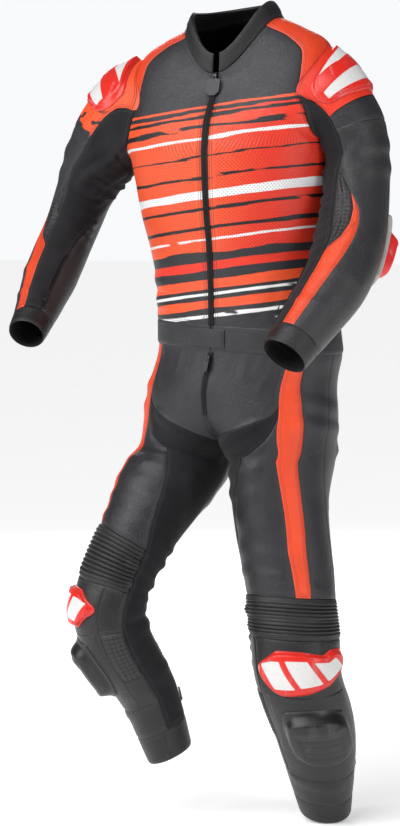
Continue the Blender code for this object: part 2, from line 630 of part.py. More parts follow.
# ---------------------------------------------------------------- zips
def frame_at(panel, column, v, step):
    """Matrix of a place on a panel: X across the zip, Y along it towards its closed end, Z out."""
    point, normal = panel.at(column, v)
    beyond, _ = panel.at(column, v + step)
    along = beyond - point
    along = (along - along.dot(normal) * normal).normalized()
    turn = Matrix((along.cross(normal), along, normal)).transposed().to_4x4()
    return Matrix.Translation(point) @ turn


def solid(bm, name, collection, frame, material=None):
    mesh = bpy.data.meshes.new(name)
    bmesh.ops.recalc_face_normals(bm, faces=bm.faces)
    bm.to_mesh(mesh)
    bm.free()
    obj = bpy.data.objects.new(name, mesh)
    collection.objects.link(obj)
    obj.matrix_world = frame
    if material:
        mesh.materials.append(material)
    return obj


def slider_block(name, frame, size, low, high):
    """The slider's body, narrower at its top."""
    bm = bmesh.new()
    bmesh.ops.create_cube(bm, size=1.0)
    for vertex in bm.verts:
        top = vertex.co.z > 0
        narrow = 0.8 if top else 1.0
        vertex.co = (vertex.co.x * 7.5 * size * narrow, vertex.co.y * 10 * size * narrow, high if top else low)
    return solid(bm, name, CUTTERS, frame)


def slider_eye(name, frame, size, low, axis):
    """The slider's eye: a round wire bent to an arch in the plane along the zip."""
    bm = bmesh.new()
    bend = EYE_RADIUS * size
    path = [Vector((0, -bend, low))]
    path += [Vector((0, -bend * math.cos(a), axis + bend * math.sin(a))) for a in steps_between(0, math.pi, 6)]
    path += [Vector((0, bend, low))]
    rings = []
    for before, here, after in zip([path[0]] + path, path, path[1:] + [path[-1]]):
        along = (after - before).normalized()
        side = Vector((1, 0, 0))
        out = side.cross(along)
        wire = EYE_WIRE * size
        rings.append([bm.verts.new(here + side * wire * math.cos(a) + out * wire * math.sin(a))
                      for a in steps_between(0, 2 * math.pi, 8)[:-1]])
    for ring, following in zip(rings, rings[1:]):
        for i in range(8):
            bm.faces.new((ring[i - 1], ring[i], following[i], following[i - 1]))
    bm.faces.new(rings[0])
    bm.faces.new(rings[-1])
    return solid(bm, name, CUTTERS, frame)


def make_pull(name, frame, size, axis, outline, material):
    """The pull tab: a flat plate whose bar turns in the slider's eye. Its origin is on the bar."""
    bar, window = PULL_BAR * size, PULL_WINDOW * size
    hole = [Vector((x, y, 0)) for y in (bar, window) for x in (-window / 2, window / 2)]
    hole = [hole[0], hole[1], hole[3], hole[2]]
    count = len(outline)
    bm = bmesh.new()
    layers = []
    for z in (-bar, bar):
        outer = [bm.verts.new((x, y, z)) for x, y in outline]
        inner = [bm.verts.new(p + Vector((0, 0, z))) for p in hole]
        layers.append((outer, inner))
    match = [min(range(4), key=lambda n: (hole[n] - Vector((x, y, 0))).length) for x, y in outline]
    for outer, inner in layers:
        for i in range(count):
            a, b = match[i - 1], match[i]
            loop = [outer[i - 1], outer[i], inner[b]] + ([inner[a]] if a != b else [])
            bm.faces.new(loop)
    for i in range(count):
        bm.faces.new((layers[0][0][i - 1], layers[0][0][i], layers[1][0][i], layers[1][0][i - 1]))
    for i in range(4):
        bm.faces.new((layers[0][1][i - 1], layers[0][1][i], layers[1][1][i], layers[1][1][i - 1]))
    hang = Matrix.Translation((0, -PULL_SAG * size, axis)) @ Matrix.Rotation(PULL_LIFT, 4, "X")
    return solid(bm, name, SUIT, frame @ hang, material)


def plain_outline(size, length, width):
    """A pull's outline from its bar down: narrow at the bar, then a plate with cut corners."""
    bar, neck, half = PULL_BAR * size, PULL_NECK * size, width / 2
    shoulder, corner = PULL_WINDOW * size + 0.0016, width * 0.28
    right = [(neck, -bar), (neck, shoulder * 0.55), (half, shoulder), (half, length - corner), (half - corner, length)]
    return [(-x, y) for x, y in reversed(right)] + right


def make_zip(name, panel, middle, ends, slider_at, size, pull_length, pull_width, base, top, half=None):
    """A zip on a panel: chain and tape as one strip with a raised middle, slider and pull tab."""
    start, end = ends
    rows = [v for v in panel.rows if min(ends) < v < max(ends)]
    stations = sorted({min(ends), max(ends), *rows})

    def place(s, t):
        v = stations[round(t * (len(stations) - 1))]
        column = (panel.at(middle + 0.5, v)[0] - panel.at(middle, v)[0]).length * 2
        return middle + (2 * s - 1) * (half or ZIP_HALF / column), v

    strip = Skin(panel.resampled(place, 4, len(stations) - 1))

    def teeth(at):
        return ZIP_TEETH if abs(at[0] - 0.5) < 0.2 else 0.0

    chain = wall(name, strip, ZIP, inner=base, outer=top, relief=teeth, gap=SEAM_GAP / 2)
    toward_end = 0.05 if end > start else -0.05
    frame = frame_at(panel, middle, slider_at, toward_end)
    block_top = top + 0.0042 * size
    axis = block_top + (PULL_BAR + 0.0004) * size
    parts = (slider_block(f"{name}_block", frame, size * 0.001, top - 0.0006, block_top),
             slider_eye(f"{name}_eye", frame, size, block_top - 0.0012, axis))
    for part in parts:
        union = chain.modifiers.new(part.name, "BOOLEAN")
        union.operation, union.solver, union.object = "UNION", "EXACT", part
        part.hide_render = True
        part.hide_viewport = False
    hanging = frame @ Matrix.Rotation(math.pi, 4, "Z")
    make_pull(f"{name}_pull", hanging, size, axis, plain_outline(size, pull_length, pull_width), METAL)


# ---------------------------------------------------------------- the sleeves
def quilt_outer(v):
    """Outer edge of the elbow's quilted panel, which is also where the stripe begins."""
    width = seam(ELBOW_QUILT, v) if 3.5 <= v <= 6.5 else 0.0
    return seam(STRETCH_EDGE, v) - width


def stripe_outer(v):
    return min(seam(STRIPE_OUTER, v), quilt_outer(v)) if v > 4.5 else quilt_outer(v)


def make_sleeve(arm, tag):
    def grid(low, high, first, last, columns):
        return Grid.between(arm, low, high, ARM_ROWS, first, last, columns)

    def back_edge(v):
        return seam(STRETCH_BACK, v) - 1

    def under_the_arm(v):
        return (3 * seam(STRETCH_EDGE, v) + 4 * seam(STRETCH_BACK, v)) / 7

    armpit = (grid(under_the_arm, share(STRETCH_EDGE), 0, ARM_SEAM, 4),
              grid(under_the_arm, share(STRETCH_BACK), 0, ARM_SEAM, 3))
    stretch = grid(share(STRETCH_EDGE), share(STRETCH_BACK), ARM_SEAM, WRIST, 7)
    wall(f"sleeve_stretch_{tag}", Skin(*armpit, stretch), STRETCH)
    upper = grid(back_edge, share(STRETCH_EDGE), 0, ARM_SEAM, 9)
    wall(f"sleeve_upper_{tag}", Skin(upper), UPPER[tag])
    elbow = grid(back_edge, stripe_outer, ARM_SEAM, WRIST, 9)
    wall(f"sleeve_outer_{tag}", Skin(elbow), OUTER)
    stripe = grid(stripe_outer, quilt_outer, 4.5, WRIST, 1)
    wall(f"sleeve_stripe_{tag}", Skin(stripe), STRIPE)
    quilt = grid(quilt_outer, share(STRETCH_EDGE), 3.5, 6.5, 1)
    blocks = quilt.resampled(lambda s, t: (s, 3.5 + 3 * t), 3, 24)
    wall(f"elbow_quilt_{tag}", Skin(blocks), QUILT, relief=lambda at: raised(at[1] * 24, QUILT_RISE))
    cuff = grid(fixed(0), fixed(1), WRIST, CUFF, 16)
    wall(f"cuff_{tag}", Skin(cuff), CUFF_LEATHER)

    pad(f"shoulder_cup_{tag}", upper, CUP, (3.2, 3.5, 4, 5, 6, 7, 8, 8.4, 8.7), (0.7, 0.9, 1.1, 1.3, 1.5),
        base=0.003, height=0.0055, lift=5 * REST_GAP)
    pad(f"elbow_slider_{tag}", elbow, PUCK, (3.8, 4, 4.5, 5, 5.5, 5.9), (4.6, 4.8, 5, 5.5, 6, 6.2, 6.4),
        base=0.0025, height=0.013, lift=4 * REST_GAP)
    make_zip(f"cuff_zip_{tag}", stretch, 6.6, (6.75, 8.9), 8.6, 0.8, 0.020, 0.007, REST_GAP, REST_GAP + ZIP_THICK)


def raised(count, rise):
    """Every second row of points stands out by rise."""
    return rise if round(count) % 2 else 0.0


# ---------------------------------------------------------------- the trousers
def make_trousers(legs):
    halves = [Grid.between(leg, fixed(0), share(TROUSER_V), LEG_ROWS, 0, 3.75, 5) for leg in legs]
    wall("trouser_front", Skin(*halves), TROUSER)
    middle = Grid(
        [[r[1], r[0], l[1]] for r, l in zip(halves[0].points[:-1], halves[1].points[:-1])],
        [[r[1], r[0], l[1]] for r, l in zip(halves[0].normals[:-1], halves[1].normals[:-1])],
        halves[0].rows[:-1],
    )
    make_zip("fly_zip", middle, 1, (3.0, 1.1), 1.35, 0.9, 0.022, 0.008, 4 * REST_GAP, 4 * REST_GAP + ZIP_THICK)
    for leg, (_, tag) in zip(legs, SIDES):
        make_leg(leg, tag)


def make_leg(leg, tag):
    def grid(low, high, first, last, columns):
        return Grid.between(leg, low, high, LEG_ROWS, first, last, columns)

    def inner_back(v):
        return seam(GUSSET_BACK, v) if v > CROTCH else 0.0

    def outer_back(v):
        return seam(STRIPE_BACK, v) if v <= RIBS_TOP else seam(KNEE_BACK, v)

    def quilt_edge(v):
        return seam(GUSSET_EDGE, v) * 2 / 3 + seam(STRIPE_FRONT, v) / 3

    gusset, knee_back = share(GUSSET_EDGE), share(KNEE_BACK)
    above = grid(share(TROUSER_V), gusset, 2.6, 3.75, 5)
    below = grid(inner_back, gusset, 3.75, LOW_CALF, 5)
    wall(f"leg_stretch_{tag}", Skin(above, below), STRETCH)
    wall(f"thigh_{tag}", Skin(grid(gusset, share(STRIPE_FRONT), 2.9, RIBS_TOP, 6)), THIGH)
    wall(f"leg_stripe_{tag}", Skin(grid(share(STRIPE_FRONT), share(STRIPE_BACK), 0, RIBS_TOP, 1)), STRIPE)
    hip = grid(share(STRIPE_BACK), knee_back, 0, RIBS_TOP, 3)
    calf = grid(knee_back, lambda v: 1 + inner_back(v), 0, LOW_CALF, 5)
    wall(f"leg_back_{tag}", Skin(hip, calf), BACK)

    stops = ((share(STRIPE_FRONT), share(STRIPE_BACK), 1), (share(STRIPE_BACK), knee_back, 3))

    def front_grid(first, last, from_quilt):
        """From the inseam, or from the quilted panel's edge, to the back seam."""
        start = (quilt_edge, share(STRIPE_FRONT), 4) if from_quilt else (gusset, share(STRIPE_FRONT), 6)
        return Grid.joined(*(grid(low, high, first, last, columns) for low, high, columns in (start, *stops)))

    ribs = front_grid(RIBS_TOP, RIBS_END, False)
    folds = ribs.resampled(lambda s, t: (10 * s, RIBS_TOP + t), 10, 2 * KNEE_RIBS)
    wall(f"knee_ribs_{tag}", Skin(folds), RIBS, relief=lambda at: raised(at[1] * 2 * KNEE_RIBS, RIB_RISE))

    knee = front_grid(RIBS_END, SHIN_SEAM, True)
    beside = grid(gusset, quilt_edge, RIBS_END, QUILT_TOP, 2)
    under = grid(gusset, quilt_edge, QUILT_END, SHIN_SEAM, 2)
    wall(f"knee_{tag}", Skin(knee, beside, under), KNEE_LEATHER)
    quilt = grid(gusset, quilt_edge, QUILT_TOP, QUILT_END, 2)
    count = 12
    blocks = quilt.resampled(lambda s, t: (2 * s, QUILT_TOP + (QUILT_END - QUILT_TOP) * t), 4, count)
    wall(f"knee_quilt_{tag}", Skin(blocks), QUILT, relief=lambda at: raised(at[1] * count, QUILT_RISE))
    wall(f"shin_{tag}", Skin(front_grid(SHIN_SEAM, LOW_CALF, False)), SHIN)
    hem = grid(fixed(0), fixed(1), LOW_CALF, LEG_HEM, 16)
    wall(f"leg_hem_{tag}", Skin(hem), CUFF_LEATHER)

    pad(f"knee_cup_{tag}", knee, CUP, (0.3, 0.6, 1, 2, 3, 4, 5, 6, 7, 7.3, 7.6), (9.15, 9.3, 9.5, 10, 10.15, 10.3),
        base=0.003, height=0.007)
    pad(f"knee_slider_{tag}", knee, KNEE_PUCK, (1.4, 1.7, 2, 3, 4, 5, 6, 6.3, 6.6),
        (10.6, 10.8, 11, 11.5, 12, 12.25, 12.5), base=0.003, height=0.017)
    make_zip(f"calf_zip_{tag}", calf, 3.5, (11.5, 13.9), 13.6, 0.8, 0.022, 0.007, REST_GAP, REST_GAP + ZIP_THICK)


# ---------------------------------------------------------------- assembly
for old in list(bpy.data.objects):
    bpy.data.objects.remove(old, do_unlink=True)
SUIT = bpy.data.collections.new("race_suit")
CUTTERS = bpy.data.collections.new("cutters")
for collection in (SUIT, CUTTERS):
    bpy.context.scene.collection.children.link(collection)
CUTTERS.hide_render = True

CHARCOAL, INK, FLAME = (0.055, 0.052, 0.058), (0.018, 0.016, 0.020), (0.85, 0.10, 0.015)
FRONT = leather("front_leather", FLAME, 0.5)
BACK = leather("back_leather", CHARCOAL, 0.5)
YOKE = leather("yoke_leather", FLAME, 0.45)
COLLAR = leather("collar_leather", INK, 0.55)
WAISTBAND = leather("waistband_leather", CHARCOAL, 0.5)
UPPER = {"right": leather("upper_leather_right", FLAME, 0.45), "left": leather("upper_leather_left", CHARCOAL)}
OUTER = leather("sleeve_leather", CHARCOAL, 0.45)
STRETCH = leather("stretch_cloth", INK, 0.85)
STRIPE = leather("stripe_leather", (0.90, 0.11, 0.01), 0.45)
QUILT = leather("quilted_leather", INK, 0.55)
CUFF_LEATHER = leather("cuff_leather", INK, 0.5)
TROUSER = leather("trouser_leather", CHARCOAL, 0.5)
THIGH = leather("thigh_leather", CHARCOAL, 0.45)
RIBS = leather("ribbed_leather", INK, 0.5)
KNEE_LEATHER = leather("knee_leather", INK, 0.45)
SHIN = leather("shin_leather", INK, 0.45)
CUP = leather("cup_plastic", (0.78, 0.03, 0.02), 0.3)
PUCK = leather("elbow_puck_plastic", (0.70, 0.02, 0.025), 0.35)
KNEE_PUCK = leather("knee_puck_plastic", (0.02, 0.02, 0.022), 0.25)
ZIP = leather("zip_chain", (0.03, 0.03, 0.032), 0.4, 0.6)
METAL = leather("pull_metal", (0.55, 0.56, 0.58), 0.3, 1.0)

SIDES = ((-1, "right"), (1, "left"))
torso = Torso()
arms = [Arm(-1, RIGHT_ARM, torso), Arm(1, LEFT_ARM, torso)]
legs = [Leg(-1, RIGHT_LEG, torso), Leg(1, LEFT_LEG, torso)]

make_jacket_body()
make_waistband()
chest_zip = Grid.between(torso, zip_edge(-1), zip_edge(1), TORSO_ROWS, BAND_TOP, NECK, 4)
make_zip("front_zip", chest_zip, 2, (BAND_TOP, NECK), 11.5, 1.0, 0.034, 0.024, -WALL, 0.0, half=2)
for arm, (_, tag) in zip(arms, SIDES):
    make_sleeve(arm, tag)
make_trousers(legs)
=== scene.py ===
# %% [markdown]
# A two-piece race suit is leather panels sewn into tubes: a torso, two sleeves and two legs.
# The packed model holds those panels as plain walls. This script puts finer cloth in their
# place, panel by panel, then adds the hard plates, the zips, the finishes and the light.
# It loads the frame first, and keeps the frame's box.

# %% Load the frame
import json
import math
from collections import namedtuple

import bpy
import numpy as np
from mathutils import Matrix, Vector, noise

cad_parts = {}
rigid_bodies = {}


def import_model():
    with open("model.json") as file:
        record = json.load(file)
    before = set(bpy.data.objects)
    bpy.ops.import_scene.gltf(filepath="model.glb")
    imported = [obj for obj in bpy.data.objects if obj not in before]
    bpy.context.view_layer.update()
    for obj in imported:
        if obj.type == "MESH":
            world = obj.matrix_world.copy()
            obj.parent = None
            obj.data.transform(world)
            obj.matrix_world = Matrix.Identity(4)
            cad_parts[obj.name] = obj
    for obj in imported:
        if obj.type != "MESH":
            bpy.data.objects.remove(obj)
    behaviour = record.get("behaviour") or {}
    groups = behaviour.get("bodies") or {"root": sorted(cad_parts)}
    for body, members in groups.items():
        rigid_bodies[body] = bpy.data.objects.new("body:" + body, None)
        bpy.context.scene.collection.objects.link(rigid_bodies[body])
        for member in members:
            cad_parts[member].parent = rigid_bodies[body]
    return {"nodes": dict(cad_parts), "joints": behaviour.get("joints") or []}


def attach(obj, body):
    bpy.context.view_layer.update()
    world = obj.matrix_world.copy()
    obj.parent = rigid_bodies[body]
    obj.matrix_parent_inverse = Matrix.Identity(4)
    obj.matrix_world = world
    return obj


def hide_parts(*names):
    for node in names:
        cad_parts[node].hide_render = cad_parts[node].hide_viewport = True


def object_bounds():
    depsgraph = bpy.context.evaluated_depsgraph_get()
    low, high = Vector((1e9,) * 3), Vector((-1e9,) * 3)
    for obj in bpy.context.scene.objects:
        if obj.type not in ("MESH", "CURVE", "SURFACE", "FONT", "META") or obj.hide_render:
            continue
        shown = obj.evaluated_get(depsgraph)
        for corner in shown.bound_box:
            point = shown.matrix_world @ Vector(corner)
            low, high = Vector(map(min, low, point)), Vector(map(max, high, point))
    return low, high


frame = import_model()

CAD_BOX = [list(corner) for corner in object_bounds()]
print("frame:", len(frame["nodes"]), "nodes; box", CAD_BOX)

# %% [markdown]
# A camera could be aimed with a Track To constraint, but a framing is easier to hold with
# numbers: how far it is turned round the suit, how far it looks down, and where the suit's
# origin falls in the image. The lens is long, so the suit keeps its proportions.

# %% Camera
IMAGE = (400, 826)              # pixels
ORIGIN_IN_IMAGE = (233, 42)     # pixels from the left and from the top
TURNED, LOOKS_DOWN, DISTANCE = math.radians(22), math.radians(5), 4.0
FOCAL_PIXELS, SENSOR = 2326, 36

right = Vector((math.cos(TURNED), math.sin(TURNED), 0))
back = Vector((math.sin(TURNED) * math.cos(LOOKS_DOWN), -math.cos(TURNED) * math.cos(LOOKS_DOWN),
               math.sin(LOOKS_DOWN)))
up = back.cross(right)
offset_right = (ORIGIN_IN_IMAGE[0] - IMAGE[0] / 2) / FOCAL_PIXELS
offset_up = (IMAGE[1] / 2 - ORIGIN_IN_IMAGE[1]) / FOCAL_PIXELS
camera_data = bpy.data.cameras.new("camera")
camera_data.sensor_width = SENSOR
camera_data.lens = FOCAL_PIXELS / IMAGE[1] * SENSOR
camera = bpy.data.objects.new("camera", camera_data)
camera.location = (back - right * offset_right - up * offset_up) * DISTANCE
camera.rotation_euler = Matrix((right, up, back)).transposed().to_euler()
bpy.context.scene.collection.objects.link(camera)
bpy.context.scene.camera = camera
print("camera at", [round(c, 3) for c in camera.location])

# %% [markdown]
# Every panel lies on a tube, and each tube is a short table of sections: where its middle is
# and how wide and deep it is there. Modelling the panels one by one would leave gaps between
# them. Cutting them all from the same smooth tubes keeps their seams closed, as in the solids.

# %% Sections of the torso
TorsoStation = namedtuple("TorsoStation",
                          "name x y z half_width front back box turn roll front_drop back_drop armhole")
TORSO = [TorsoStation(*row) for row in (
    ("under_hem", 0.033, 0.000, -0.566, 0.170, 0.119, 0.122, 0.02, -13, -2.5, 0.000, 0.0, 0),
    ("hem", 0.032, 0.000, -0.524, 0.171, 0.120, 0.121, 0.02, -13, -2.5, 0.000, 0.0, 0),
    ("band_top", 0.030, 0.000, -0.482, 0.168, 0.119, 0.118, 0.02, -12, -2.2, 0.000, 0.0, 0),
    ("waist", 0.025, 0.002, -0.418, 0.164, 0.119, 0.114, 0.02, -10, -1.2, 0.000, 0.0, 0),
    ("ribs", 0.017, 0.002, -0.350, 0.165, 0.124, 0.116, 0.02, -6, 0.4, 0.000, 0.0, 0),
    ("low_chest", 0.009, 0.000, -0.286, 0.171, 0.131, 0.121, 0.02, -3, 1.8, 0.000, 0.0, 0),
    ("underarm", 0.003, 0.000, -0.201, 0.180, 0.135, 0.127, 0.03, -1, 1.0, 0.000, 0.0, 0),
    ("low_arm", 0.000, 0.002, -0.167, 0.188, 0.133, 0.132, 0.03, 0, 3.2, 0.008, 0.0, 28),
    ("mid_arm", -0.001, 0.006, -0.122, 0.189, 0.127, 0.134, 0.03, 0, 3.4, 0.022, 0.0, 37),
    ("high_arm", -0.001, 0.010, -0.066, 0.184, 0.116, 0.132, 0.02, 0, 3.5, 0.052, 0.0, 40),
    ("tip", -0.001, 0.014, -0.013, 0.166, 0.106, 0.120, 0.0, 0, 3.6, 0.082, -0.004, 0),
    ("slope", -0.001, 0.014, 0.014, 0.124, 0.096, 0.104, 0.0, 0, 4.2, 0.088, -0.008, 0),
    ("neck", -0.001, 0.010, 0.032, 0.085, 0.088, 0.086, 0.0, 0, 6.0, 0.088, -0.012, 0),
    ("collar_fold", -0.001, 0.008, 0.046, 0.078, 0.084, 0.078, 0.0, 0, 6.4, 0.087, -0.010, 0),
    ("collar_top", -0.001, 0.006, 0.060, 0.070, 0.080, 0.070, 0.0, 0, 6.4, 0.084, -0.004, 0),
)]
HEM, BAND_TOP, UNDERARM, HIGH_ARM, TIP, NECK, COLLAR_TOP = 1, 2, 6, 9, 10, 12, 14
FRONT_SHARE = 2.5      # how sharply the neck and the yoke dip towards the front middle
print("sections of the torso:", len(TORSO))

# %% [markdown]
# The wearer's right arm hangs free and the left one is bent forward, so each has a table of its
# own. A mirrored copy with a pose would save one table, but the leather sits differently on a
# bent arm.

# %% Sections of the sleeves
ArmStation = namedtuple("ArmStation", "name x y z half_width front back twist")
RIGHT_ARM = [ArmStation(*row) for row in (
    ("armhole", 0.150, 0.008, -0.100, 0.072, 0.070, 0.070, 0),
    ("cap", 0.211, 0.010, -0.108, 0.073, 0.069, 0.069, 0),
    ("upper_seam", 0.243, 0.014, -0.166, 0.065, 0.064, 0.065, 0),
    ("upper_arm", 0.270, 0.022, -0.213, 0.060, 0.060, 0.061, -4),
    ("above_elbow", 0.297, 0.028, -0.262, 0.051, 0.052, 0.053, -8),
    ("elbow", 0.316, 0.024, -0.312, 0.048, 0.049, 0.052, -12),
    ("below_elbow", 0.323, -0.010, -0.360, 0.048, 0.048, 0.05, -12),
    ("forearm", 0.32, -0.060, -0.404, 0.047, 0.046, 0.047, -12),
    ("low_forearm", 0.317, -0.108, -0.445, 0.041, 0.041, 0.041, -12),
    ("wrist", 0.313, -0.150, -0.479, 0.035, 0.035, 0.035, -12),
    ("cuff", 0.311, -0.178, -0.500, 0.032, 0.031, 0.031, -12),
)]
LEFT_ARM = [ArmStation(*row) for row in (
    ("armhole", 0.150, 0.006, -0.098, 0.072, 0.070, 0.070, 0),
    ("cap", 0.192, 0.003, -0.108, 0.062, 0.069, 0.069, 0),
    ("upper_seam", 0.218, 0.000, -0.153, 0.056, 0.064, 0.065, 4),
    ("upper_arm", 0.227, -0.004, -0.204, 0.054, 0.061, 0.062, 8),
    ("above_elbow", 0.232, -0.022, -0.258, 0.053, 0.059, 0.062, 10),
    ("elbow", 0.236, -0.052, -0.314, 0.056, 0.058, 0.062, 12),
    ("below_elbow", 0.236, -0.090, -0.366, 0.058, 0.057, 0.058, 14),
    ("forearm", 0.229, -0.131, -0.412, 0.058, 0.055, 0.055, 14),
    ("low_forearm", 0.211, -0.174, -0.457, 0.053, 0.049, 0.049, 14),
    ("wrist", 0.192, -0.214, -0.498, 0.045, 0.043, 0.043, 14),
    ("cuff", 0.181, -0.237, -0.523, 0.04, 0.039, 0.039, 14),
)]
ARM_SEAM, UNDER_END, ELBOW, WRIST, CUFF = 2, 3, 5, 9, 10   # the underside is straight up to UNDER_END
ARMPIT_SPREAD = {-1: 0.0, 1: 0.08}     # turn by which the ring's points run ahead of the armhole's
ARMHOLE_STEPS = 48                     # half the points of an armhole
SLEEVE_CLEAR = 0.0060                  # least distance of a sleeve from the jacket's side
print("sections of a sleeve:", len(LEFT_ARM))

# %% [markdown]
# Both legs share the hips. Their stations lie in the frame of the hips, so that one turn and one
# roll move the whole pair: x is the distance outwards from the middle, and the plane of a ring
# is raised in front by its tilt and turned outwards by its yaw.

# %% Sections of the trousers
LegStation = namedtuple("LegStation", "name x y z half_width front back tilt yaw")
HIPS = [LegStation(*row) for row in (
    ("waist_top", 0.000, 0.000, -0.482, 0.168, 0.119, 0.118, 0, 0),
    ("hem_level", 0.000, 0.000, -0.524, 0.170, 0.119, 0.120, 0, 0),
    ("high_hip", 0.014, -0.002, -0.575, 0.160, 0.118, 0.124, 0, 0),
    ("hip", 0.048, -0.008, -0.635, 0.132, 0.112, 0.126, 0, 0),
    ("crotch", 0.0905, -0.020, -0.700, 0.0885, 0.100, 0.116, 0, 0),
)]
HIGH_THIGH = LegStation("high_thigh", 0.103, -0.050, -0.759, 0.085, 0.086, 0.094, 0, 0)
RIGHT_LEG = HIPS + [LegStation(*row) for row in (
    ("high_thigh", 0.102, -0.066, -0.750, 0.082, 0.084, 0.092, 20, 12),
    ("mid_thigh", 0.112, -0.108, -0.795, 0.076, 0.072, 0.076, 33, 22),
    ("low_thigh", 0.118, -0.134, -0.829, 0.072, 0.066, 0.068, 34, 32),
    ("ribs_top", 0.123, -0.153, -0.863, 0.070, 0.064, 0.062, 30, 38),
    ("ribs_end", 0.131, -0.190, -0.932, 0.068, 0.066, 0.056, 12, 44),
    ("knee", 0.132, -0.202, -0.978, 0.066, 0.068, 0.056, -6, 48),
    ("below_knee", 0.124, -0.194, -1.029, 0.064, 0.064, 0.058, -18, 48),
    ("calf", 0.11, -0.168, -1.082, 0.061, 0.056, 0.056, -25, 48),
    ("mid_calf", 0.097, -0.141, -1.130, 0.055, 0.051, 0.051, -27, 48),
    ("low_calf", 0.086, -0.124, -1.182, 0.050, 0.047, 0.046, -27, 48),
    ("leg_hem", 0.077, -0.110, -1.232, 0.043, 0.041, 0.042, -26, 48),
)]
LEFT_LEG = HIPS + [LegStation(*row) for row in (
    ("high_thigh", 0.099, -0.034, -0.768, 0.084, 0.088, 0.096, 8, 10),
    ("mid_thigh", 0.113, -0.044, -0.836, 0.081, 0.078, 0.084, 10, 18),
    ("low_thigh", 0.126, -0.050, -0.888, 0.079, 0.073, 0.076, 9, 24),
    ("ribs_top", 0.137, -0.055, -0.934, 0.076, 0.070, 0.070, 8, 28),
    ("ribs_end", 0.147, -0.058, -1.000, 0.076, 0.070, 0.066, 3, 32),
    ("knee", 0.151, -0.056, -1.063, 0.075, 0.072, 0.066, -8, 34),
    ("below_knee", 0.157, -0.035, -1.120, 0.075, 0.068, 0.068, -17, 34),
    ("calf", 0.158, -0.013, -1.168, 0.071, 0.063, 0.066, -22, 34),
    ("mid_calf", 0.155, 0.010, -1.232, 0.061, 0.054, 0.057, -22, 34),
    ("low_calf", 0.151, 0.028, -1.284, 0.052, 0.047, 0.049, -21, 34),
    ("leg_hem", 0.147, 0.042, -1.322, 0.045, 0.042, 0.043, -20, 34),
)]
CROTCH, RIBS_TOP, RIBS_END, LOW_CALF, LEG_HEM = 4, 8, 9, 14, 15

HIPS_AT, HIPS_TURN, HIPS_ROLL = Vector((0.020, -0.004, 0.0)), math.radians(-13), math.radians(-2.5)
WAIST_INSET = 0.0023   # the trouser waist sits this far inside the jacket's face
print("sections of a leg:", len(LEFT_LEG), "of which", len(HIPS), "are the hips'")

# %% [markdown]
# A seam on a tube needs only two numbers at each end of a run: how far along the tube, and how
# far round it. The panels on both sides read the same table, so they can't drift apart.

# %% Tables of seams
# A seam is a list of (station number, share of the turn round the tube).
YOKE_SEAM = [(9, 0.1395), (9.5, 0.150), (10, 0.163), (11, 0.172), (12, 0.168)]
STRETCH_EDGE = [(0, 0.1875), (1, 0.180), (2, 0.215), (3, 0.215), (4, 0.230), (5, 0.215), (6, 0.175),
                (7, 0.175), (8, 0.170), (9, 0.170)]
STRETCH_BACK = [(0, 0.625), (2, 0.600), (4, 0.520), (5, 0.440), (6, 0.365), (7, 0.325), (9, 0.320)]
ELBOW_QUILT = [(3.5, 0.000), (4, 0.045), (4.5, 0.085), (5, 0.105), (5.5, 0.090), (6, 0.050), (6.5, 0.000)]
STRIPE_OUTER = [(4.5, 0.1375), (5, 0.085), (5.5, 0.065), (6, 0.065), (7, 0.080), (8, 0.085), (9, 0.088)]
TROUSER_V = [(0, 0.27), (2, 0.27), (2.6, 0.275), (2.9, 0.245), (3.2, 0.165), (3.5, 0.070), (3.75, 0.0)]
GUSSET_EDGE = [(2.6, 0.275), (2.9, 0.278), (3.2, 0.268), (3.5, 0.255), (3.75, 0.238), (4, 0.225), (4.5, 0.180),
               (5, 0.140), (6, 0.080), (7, 0.030), (8, -0.010), (9, -0.030), (14, -0.03)]
GUSSET_BACK = [(4, 0.0), (5, -0.09), (6, -0.14), (7, -0.17), (8, -0.19), (14, -0.22)]
STRIPE_FRONT = [(0, 0.27), (2, 0.27), (2.6, 0.275), (2.9, 0.278), (3.2, 0.280), (3.5, 0.295), (4, 0.340),
                (5.5, 0.315), (6.5, 0.290), (8, 0.280)]
STRIPE_BACK = [(0, 0.345), (2, 0.345), (3, 0.372), (4, 0.405), (5.5, 0.380), (6.5, 0.355), (8, 0.335)]
KNEE_BACK = [(0, 0.50), (14, 0.50)]
print("seams: 11; the yoke's first point is at", YOKE_SEAM[0])

# %% [markdown]
# The tables give a few stations, and the cloth needs the places between them. A curve object
# could smooth them, but each column would need its own. A Catmull-Rom curve goes through every
# number of a column, so the tube bends softly, while a seam runs straight from row to row.

# %% Between the rows of a table
def spline(values, v):
    """Catmull-Rom curve through a column of a table, at station number v."""
    last = len(values) - 1
    i = min(max(math.floor(v), 0), last - 1)
    t = v - i
    here, there = values[i], values[i + 1]
    before = values[i - 1] if i > 0 else 2 * here - there
    after = values[i + 2] if i + 2 <= last else 2 * there - here
    return 0.5 * (
        2 * here
        + (there - before) * t
        + (2 * before - 5 * here + 4 * there - after) * t * t
        + (3 * here - before - 3 * there + after) * t * t * t
    )


def seam(table, v):
    """Straight runs between the rows of a seam's table."""
    if v <= table[0][0]:
        return table[0][1]
    for (v0, a0), (v1, a1) in zip(table, table[1:]):
        if v <= v1:
            return a0 + (a1 - a0) * (v - v0) / (v1 - v0)
    return table[-1][1]


def smooth(t):
    t = min(max(t, 0.0), 1.0)
    return t * t * (3 - 2 * t)


def columns_of(stations):
    return {name: [getattr(s, name) for s in stations] for name in stations[0]._fields[1:]}


print("the yoke's seam at station 9.25:", round(seam(YOKE_SEAM, 9.25), 4))

